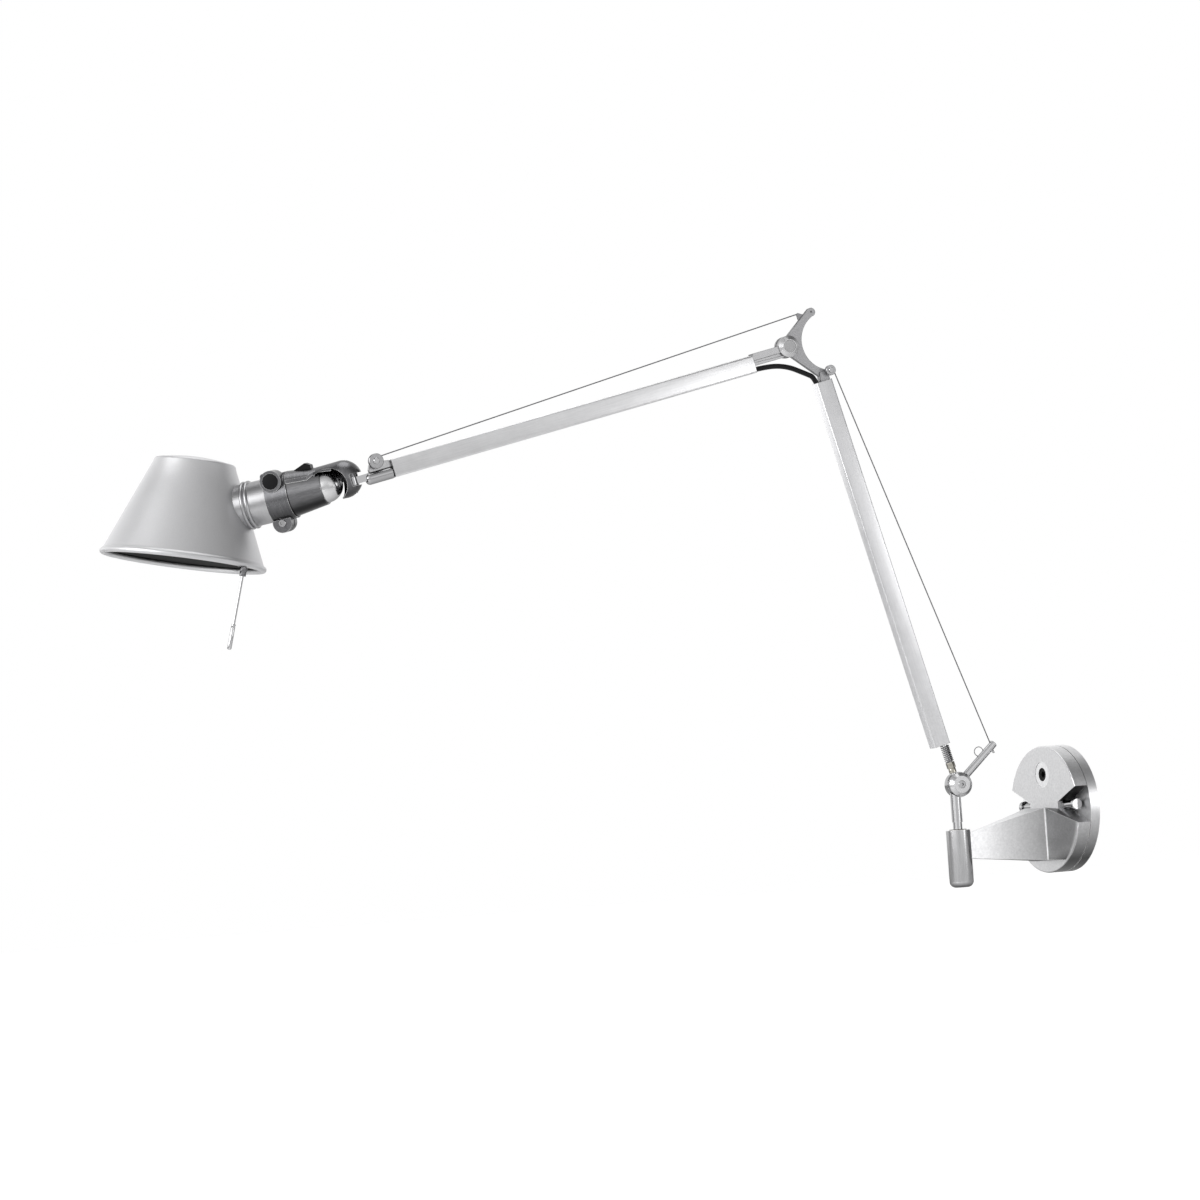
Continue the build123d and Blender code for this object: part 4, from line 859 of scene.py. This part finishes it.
def stranded(name, length):
    deselect()
    bpy.ops.mesh.primitive_circle_add(vertices=18, radius=wire_radius, fill_type="NGON")
    wire = bpy.context.object
    wire.name = name
    for vertex in wire.data.vertices:
        if vertex.index % 3 == 0:
            vertex.co.x *= lobe_depth
            vertex.co.y *= lobe_depth
    turns = length / lay_length
    twist = wire.modifiers.new("twist", "SCREW")
    twist.axis, twist.angle, twist.screw_offset = "Z", 2 * math.pi * turns, length
    twist.steps = twist.render_steps = int(turns * steps_per_lay)
    apply_all(wire)
    close_ends(wire)
    return wire


def held_wire(name, start, end, node):
    """A straight wire from start to end, which stands in for a solid that is hidden."""
    along = end - start
    place = Matrix.Translation(start) @ along.to_track_quat("Z", "Y").to_matrix().to_4x4()
    wire = settle(stranded(name, along.length * 1000), place)
    surfaced(wire, wire_steel, 60)
    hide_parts(node)
    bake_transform(wire)
    print(name, round(along.length * 1000, 1), "mm")


lower_start = spot_on(lower_frame, 486.7, 7.95, 7.0)
lower_end = spot_on(lever_place, wire_hole, 0, 7.5)
held_wire("lower_balance_wire", lower_start, lower_end, "lower_wire")
limb_slope = math.degrees(math.atan2(39.8, 28.8))
hook_along, hook_out = 37.85, 11.3
upper_start = spot_on(upper_frame, 495.2, 6.2, 8.25)
hook_tip = spot_on(hub_frame @ turned(-limb_slope, "Y"), hook_along, 0, -hook_out)
held_wire("upper_balance_wire", upper_start, hook_tip, "upper_wire")

# %% [markdown]
# ## The lead across the elbow
# A black lead leaves the upper tube, arches under the elbow and dives into the lower tube.
# It is a curve with a round section, through a few listed points. That is quicker than extruding a ring along
# the way, and stays smooth.

# %% Lead
lead_radius = 0.0029
leaves_upper = ((65, -13.95), (33, -13.95), (7, -19.95), (-13, -34.45))
enters_lower = ((484.5, -13.15), (458.5, -13.15))
lead_points = [spot_on(upper_frame, x, 0, z) for x, z in leaves_upper]
lead_points += [spot_on(lower_frame, x, 0, z) for x, z in enters_lower]
deselect()
bpy.ops.curve.primitive_nurbs_path_add()
lead = bpy.context.object
lead.name = "elbow_lead"
lead.data.splines.clear()
line = lead.data.splines.new("NURBS")
line.points.add(len(lead_points) - 1)
for point, place in zip(line.points, lead_points):
    point.co = (*place, 1)
line.order_u = 3
line.use_endpoint_u = True
line.resolution_u = 24
lead.data.bevel_depth = lead_radius
lead.data.bevel_resolution = 8
lead.data.use_fill_caps = True
pick(lead)
bpy.ops.object.convert(target="MESH")
lead = bpy.context.object
surfaced(lead, black_cable, 50)
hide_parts("power_cable")
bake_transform(lead)
print("lead", len(lead.data.polygons), "faces")

# %% [markdown]
# ## Wheels
# The wires run over two small grooved wheels, one at the elbow and one at the arm's end.
# They have the same profile in two sizes, so one function draws both.

# %% Grooved wheels
lip_margin, wheel_chamfer, groove_round = 1.1, 0.4, 0.3


def grooved(name, radius, groove, width, bore):
    lip = width / 2 - lip_margin
    side = [(0, bore), (0, radius - wheel_chamfer), (wheel_chamfer, radius), (lip - 0.5, radius),
            (lip, groove + wheel_chamfer), (lip + groove_round, groove)]
    other_side = [(width - along, height) for along, height in reversed(side)]
    return spun(name, side + other_side, steps=64)


roller_place = lower_frame @ shift(487.7, 5.2, 3.3) @ facing
roller = grooved("wire_roller_wheel", 5.8, 2.6, 5.5, 1.86)
dress(settle(roller, roller_place), wheel_metal, "lower_arm", "wheel_metal", "wire_roller")
pulley_place = upper_frame @ shift(497.2, 3.6, 4.6) @ facing
pulley = grooved("wire_pulley_wheel", 8.3, 2.6, 5.2, 2.06)
dress(settle(pulley, pulley_place), wheel_metal, "upper_arm", "wheel_metal", "pulley")

# %% [markdown]
# ## Hub caps
# The elbow's pin is closed by a bevelled cap on each side, with a flat grey centre. Ring and
# centre are two turned pieces, because their finishes differ and a clean line parts them.

# %% Hub caps
ring_outline = [(6.9, 0), (6.9, 12.1), (7.8, 12.1), (8.1, 12.0), (11.05, 8.0), (11.3, 7.7), (11.3, 6.9),
                (10.9, 6.7), (10.9, 0)]
centre_outline = [(10.5, 0), (10.5, 6.5), (11.05, 6.5), (11.2, 6.3), (11.2, 0)]
for side, name in ((1, "front"), (-1, "rear")):
    cap_place = upper_frame @ turned(90 * side, "Z")
    ring = spun("cap_ring_" + name, ring_outline)
    dress(settle(ring, cap_place), cap_bevel, "upper_arm", "hub_cap", "hub_cap_" + name)
    centre = spun("cap_centre_" + name, centre_outline, steps=64)
    dress(settle(centre, cap_place), cap_centre, "upper_arm", "hub_cap")

# %% [markdown]
# ## Dome and housing
# The lamp head is a stack of turned parts. At the rear a polished dome closes it, and a
# slightly conical housing runs to the clamp. The dome's profile is a quarter of an ellipse,
# which a formula gives better than points set by eye.

# %% Dome and housing
dome_base, dome_depth, dome_radius = 31.0, 19.6, 17.8
quarter = [math.radians(degrees) for degrees in range(0, 91, 5)]
dome_outline = [(36, 14.3), (36, 16.1), (dome_base, 16.1)]
dome_outline += [(dome_base - dome_depth * math.sin(t), dome_radius * math.cos(t)) for t in quarter]
dome = spun("polished_dome", dome_outline)
dress(settle(dome, head_frame), dome_metal, "head", "mirror_chrome", "rear_dome")
housing_outline = [
    (31.05, 16.3), (31.05, 19.1), (31.35, 19.42), (67.7, 23.97), (68.0, 23.7), (68.0, 23.35), (80.4, 23.35),
    (80.4, 21.4), (65, 21.4), (39, 16.3),
]
housing = spun("conical_housing", housing_outline)
dress(settle(housing, head_frame), housing_metal, "head", "head_metal", "lamp_housing")

# %% [markdown]
# ## Push button
# A black button in the clamp's boss switches the lamp. Its face is a very flat dome, so a
# short arc is spun, and it rides on its own body because it moves.

# %% Push button
button_face, button_radius, button_crown, crown_angle, crown_steps = 26.5, 8.75, 0.45, 0.6, 8
button_outline = []
for n in range(crown_steps + 1):
    t = crown_angle * n / crown_steps
    sunk = button_crown * (1 - math.cos(t)) / (1 - math.cos(crown_angle))
    button_outline.append((button_face - sunk, button_radius * math.sin(t) / math.sin(crown_angle)))
button_outline += [(25.6, 8.8), (23.0, 8.8), (23.0, 0)]
button = spun("domed_button", button_outline, steps=64)
button_place = head_frame @ shift(83, 0, 19.6) @ facing
dress(settle(button, button_place), black_plastic, "button", "black_button", "push_button")

# %% [markdown]
# ## Lampholder
# Inside the neck sits a screw lampholder: a black body and a brass shell with a round
# thread. From below only its mouth shows, so the thread is a row of rings, made by a sine,
# and no true helix.

# %% Lampholder
holder_mouth, holder_wall, thread_radius, thread_depth = 116, 15.0, 13.62, 0.55
thread_step, thread_wave, thread_points = 0.45, 0.8, 60
holder_outline = [
    (50, 0), (50, 14.5), (50.5, 15), (68, 15), (72, 18.5), (72.5, 19), (115.5, 19), (116, 18.5), (116, 15.2),
    (82, 15.2), (82, 0),
]
holder = spun("holder_body", holder_outline)
dress(settle(holder, head_frame), holder_black, "head", "holder_ceramic", "lampholder")
thread = [
    (holder_mouth - n * thread_step, thread_radius + thread_depth * (0.5 + 0.5 * math.sin(n * thread_wave)))
    for n in range(thread_points)
]
shell = spun("holder_thread", [(holder_mouth, holder_wall)] + thread + [(89, holder_wall)], steps=64)
dress(settle(shell, head_frame), holder_brass, "head", "holder_ceramic")

# %% [markdown]
# ## Shade
# The shade is spun from one sheet: a crown, a rounded shoulder, a straight cone and a rolled
# bead at the mouth. It is drawn as one thin closed outline, so that the sheet has its real
# thickness. The neck enters through the cone's side, and a plain cylinder cuts that hole.

# %% Spun shade
def arc_between(start, middle, end, steps):
    """Points on the circle through three points, from start to end."""
    (ax, ay), (bx, by), (cx, cy) = start, middle, end
    twice = 2 * (ax * (by - cy) + bx * (cy - ay) + cx * (ay - by))
    a, b, c = ax * ax + ay * ay, bx * bx + by * by, cx * cx + cy * cy
    centre = ((a * (by - cy) + b * (cy - ay) + c * (ay - by)) / twice,
              (a * (cx - bx) + b * (ax - cx) + c * (bx - ax)) / twice)
    first = math.degrees(math.atan2(ay - centre[1], ax - centre[0]))
    last = math.degrees(math.atan2(cy - centre[1], cx - centre[0]))
    return arc(centre, math.hypot(ax - centre[0], ay - centre[1]), first, last, steps)


bead_radius, bead_circle, neck_bore = 3.4, 88.5, 22.5
outside = arc_between((117.5, 0), (116.35, 20.65), (112.9, 41.3), 12)
outside += arc_between((112.9, 41.3), (111.95, 44.05), (109.4, 45.2), 7)[1:]
outside += [(85, 55.56), (58, 67.02), (31, 78.48), (8.6, 87.99), (7.3, 88.6)]
bead = arc((bead_radius, bead_circle), bead_radius, 16, 338, 26)
inside = [(8.4, 86.45), (31, 76.85), (58, 65.39), (85, 53.93)]
inside += arc_between((108.4, 44.0), (110.7, 43.0), (111.5, 40.9), 5)
inside += arc_between((111.5, 40.9), (114.9, 20.4), (116.0, 0), 10)[1:]
bowl = settle(spun("spun_shade", outside + bead + inside, steps=160), shade_frame @ upright)
neck_hole = spun("neck_hole", [(80, 0), (80, neck_bore), (178, neck_bore), (178, 0)])
cut(bowl, settle(neck_hole, head_frame))
dress(bowl, shade_satin, "shade", "shade_satin", "shade", angle=40)
print("shade", len(bowl.data.polygons), "faces")

# %% [markdown]
# ## The shade's inside
# Inside, the shade is nearly black in this view, and that is painted shade: the same mesh takes a near-black
# second material. Its inner faces are found by two signs: they look towards the axis, or down from under the
# crown. A second shell would be one more piece that could peep through the first.

# %% Dark inside
inner_rim, inner_depth, under_crown = 87, 5, 100
inward, downward = 0.2, 0.5
bowl.data.materials.append(painted_dark_inside)
shade_axes = shade_frame.inverted()
for face in bowl.data.polygons:
    centre, looks = shade_axes @ face.center * 1000, shade_axes.to_3x3() @ face.normal
    across = math.hypot(centre.x, centre.y)
    looks_in = centre.x * looks.x + centre.y * looks.y < -inward * across
    in_cone = looks_in and across < inner_rim and centre.z > inner_depth
    if in_cone or (centre.z > under_crown and looks.z < -downward):
        face.material_index = 1
print("dark faces", sum(face.material_index for face in bowl.data.polygons))

# %% [markdown]
# ## Pull handle
# A thin rod hangs from the rim, held by two small nuts, with a sleeve at its end to hold on
# to. The sleeve has a turned collar groove near its top. All four pieces share one place on
# the rim, so they are drawn along one axis and settled together.

# %% Handle
handle_turn, handle_lean = 158.4, 4.3
rim_place = shade_frame @ turned(handle_turn, "Z") @ shift(bead_circle, 0, 0)
handle_place = rim_place @ turned(handle_lean, "Y") @ upright
rod = spun("pull_rod", [(1, 0), (1, 1.5), (-64, 1.5), (-64, 0)], steps=32)
dress(settle(rod, handle_place), polished_steel, "shade", "polished_steel", "handle_rod")
grip_outline = [
    (-62.7, 0), (-62.7, 1.9), (-63.0, 2.4), (-64.4, 2.4), (-64.7, 2.05), (-65.2, 1.9), (-65.8, 2.3),
    (-89.4, 2.4), (-90.3, 2.0), (-90.7, 1.2), (-90.7, 0),
]
grip = spun("pull_sleeve", grip_outline, steps=40)
dress(settle(grip, handle_place), polished_steel, "shade", "polished_steel", "handle_grip")
nut_height, nut_soft = 5, 0.5
for name, centre, radius, node in (
    ("rim_nut", -2.55, 4.6, "handle_nut"), ("rim_locknut", -7.55, 3.8, "handle_locknut"),
):
    nut = hexagon(name, radius, nut_height, nut_soft)
    settle(nut, handle_place @ shift(centre, 0, 0) @ turned(90, "Y"))
    dress(nut, dark_screw, "shade", "screw_steel", node)

# %% [markdown]
# ## Floor
# The lamp hangs before plain white. The floor lies well below it and takes a faint shadow.
# More light would make the paper white, but it would bleach the lamp too. So the paper glows
# a little, and only for the camera.

# %% Floor
floor_level, floor_size, paper_glow = -0.62, 60, 0.55
deselect()
bpy.ops.mesh.primitive_plane_add(size=floor_size, location=(0, 0, floor_level))
floor = bpy.context.object
floor.name = "studio_floor"
paper = bpy.data.materials.new("white_paper")
paper.use_nodes = True
paper_tree = paper.node_tree
paper_shader = paper_tree.nodes["Principled BSDF"]
paper_shader.inputs["Base Color"].default_value = grey(0.9)
paper_shader.inputs["Roughness"].default_value = 0.9
paper_shader.inputs["Emission Color"].default_value = grey(1)
ray = paper_tree.nodes.new("ShaderNodeLightPath")
glow = math_node(paper_tree, "MULTIPLY", ray.outputs["Is Camera Ray"], paper_glow)
paper_tree.links.new(glow, paper_shader.inputs["Emission Strength"])
floor.data.materials.append(paper)
floor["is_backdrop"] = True
print("floor at", floor_level)

# %% [markdown]
# ## World
# The camera sees plain white. Diffuse light gets an even level from all round. Reflections
# see a third thing: a room that is bright behind and in front of the lamp, and dark at the
# sides and below. That gives polished metal its dark outlines. Black cards round the lamp
# would do it too, but the world needs no extra object.

# %% World
even_level = 0.6
world = bpy.data.worlds.new("studio")
bpy.context.scene.world = world
world.use_nodes = True
sky = world.node_tree
sky.nodes.clear()
direction = sky.nodes.new("ShaderNodeTexCoord")


def part_of(axis):
    """How far a direction goes along an axis, from 0 (against it) to 1."""
    dot = sky.nodes.new("ShaderNodeVectorMath")
    dot.operation = "DOT_PRODUCT"
    sky.links.new(direction.outputs["Generated"], dot.inputs[0])
    dot.inputs[1].default_value = axis
    return math_node(sky, "MULTIPLY", math_node(sky, "ADD", dot.outputs["Value"], 1.0), 0.5)


def background(colour):
    node = sky.nodes.new("ShaderNodeBackground")
    plug(sky, node.inputs["Color"], colour)
    return node.outputs[0]


def shader_mix(share, first, second):
    node = sky.nodes.new("ShaderNodeMixShader")
    for socket, value in zip(node.inputs, (share, first, second)):
        sky.links.new(value, socket)
    return node.outputs[0]


to_camera = Vector((towards.x, towards.y, 0)).normalized()
behind_to_front = grey_ramp(sky, part_of(to_camera), (
    (0.0, 1.25), (0.26, 1.2), (0.42, 0.25), (0.58, 0.32), (0.76, 0.72), (0.92, 1.05), (1.0, 0.60)))
left_to_right = grey_ramp(sky, part_of(level), ((0.0, 1.3), (0.35, 1.2), (0.62, 0.95), (1.0, 0.8)))
ground_to_top = grey_ramp(sky, part_of((0, 0, 1)), (
    (0.0, 0.10), (0.30, 0.18), (0.47, 0.95), (0.62, 1.0), (0.80, 0.62), (1.0, 0.75)))
sides = math_node(sky, "MULTIPLY", behind_to_front, left_to_right)
mirrored = background(math_node(sky, "MULTIPLY", sides, ground_to_top))
path = sky.nodes.new("ShaderNodeLightPath").outputs
lit = shader_mix(path["Is Glossy Ray"], background(grey(even_level)), mirrored)
seen = math_node(sky, "MAXIMUM", path["Is Camera Ray"], path["Is Transmission Ray"])
surround = sky.nodes.new("ShaderNodeOutputWorld")
sky.links.new(shader_mix(seen, lit, background(grey(1))), surround.inputs["Surface"])
print("world nodes:", len(sky.nodes))

# %% [markdown]
# ## Lamps
# Three round area lamps are enough: a large one on the left, which draws the long light
# streaks on the tubes and the shade, a weak one from the front right, and one above. They
# are large, so their shadows are soft.

# %% Lamps
def soft_lamp(name, place, size, power):
    light = bpy.data.lights.new(name, "AREA")
    light.shape, light.size, light.energy = "DISK", size, power
    lamp = bpy.data.objects.new(name, light)
    bpy.context.scene.collection.objects.link(lamp)
    lamp.location = place
    lamp.rotation_euler = (lamp_middle - Vector(place)).to_track_quat("-Z", "Y").to_euler()
    print(name, "lamp,", power, "watts")


lamp_middle = Vector((-0.5, 0.1, 0.25))
soft_lamp("key", (-3.1, 0.1, 1.0), 1.8, 36)
soft_lamp("fill", (1.4, -2.6, 0.6), 1.4, 10)
soft_lamp("overhead", (-0.5, 0.4, 2.6), 1.8, 14)
bpy.context.scene.view_settings.view_transform = "Standard"

# %% [markdown]
# ## Sizes
# The dressed lamp has to be as large as the solids. Both boxes are measured, and the largest difference is
# printed in millimetres.

# %% Sizes and finish
low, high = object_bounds()
differences = [abs(a - b) for a, b in zip((*cad_low, *cad_high), (*low, *high))]
print("largest difference", round(max(differences) * 1000, 2), "mm")
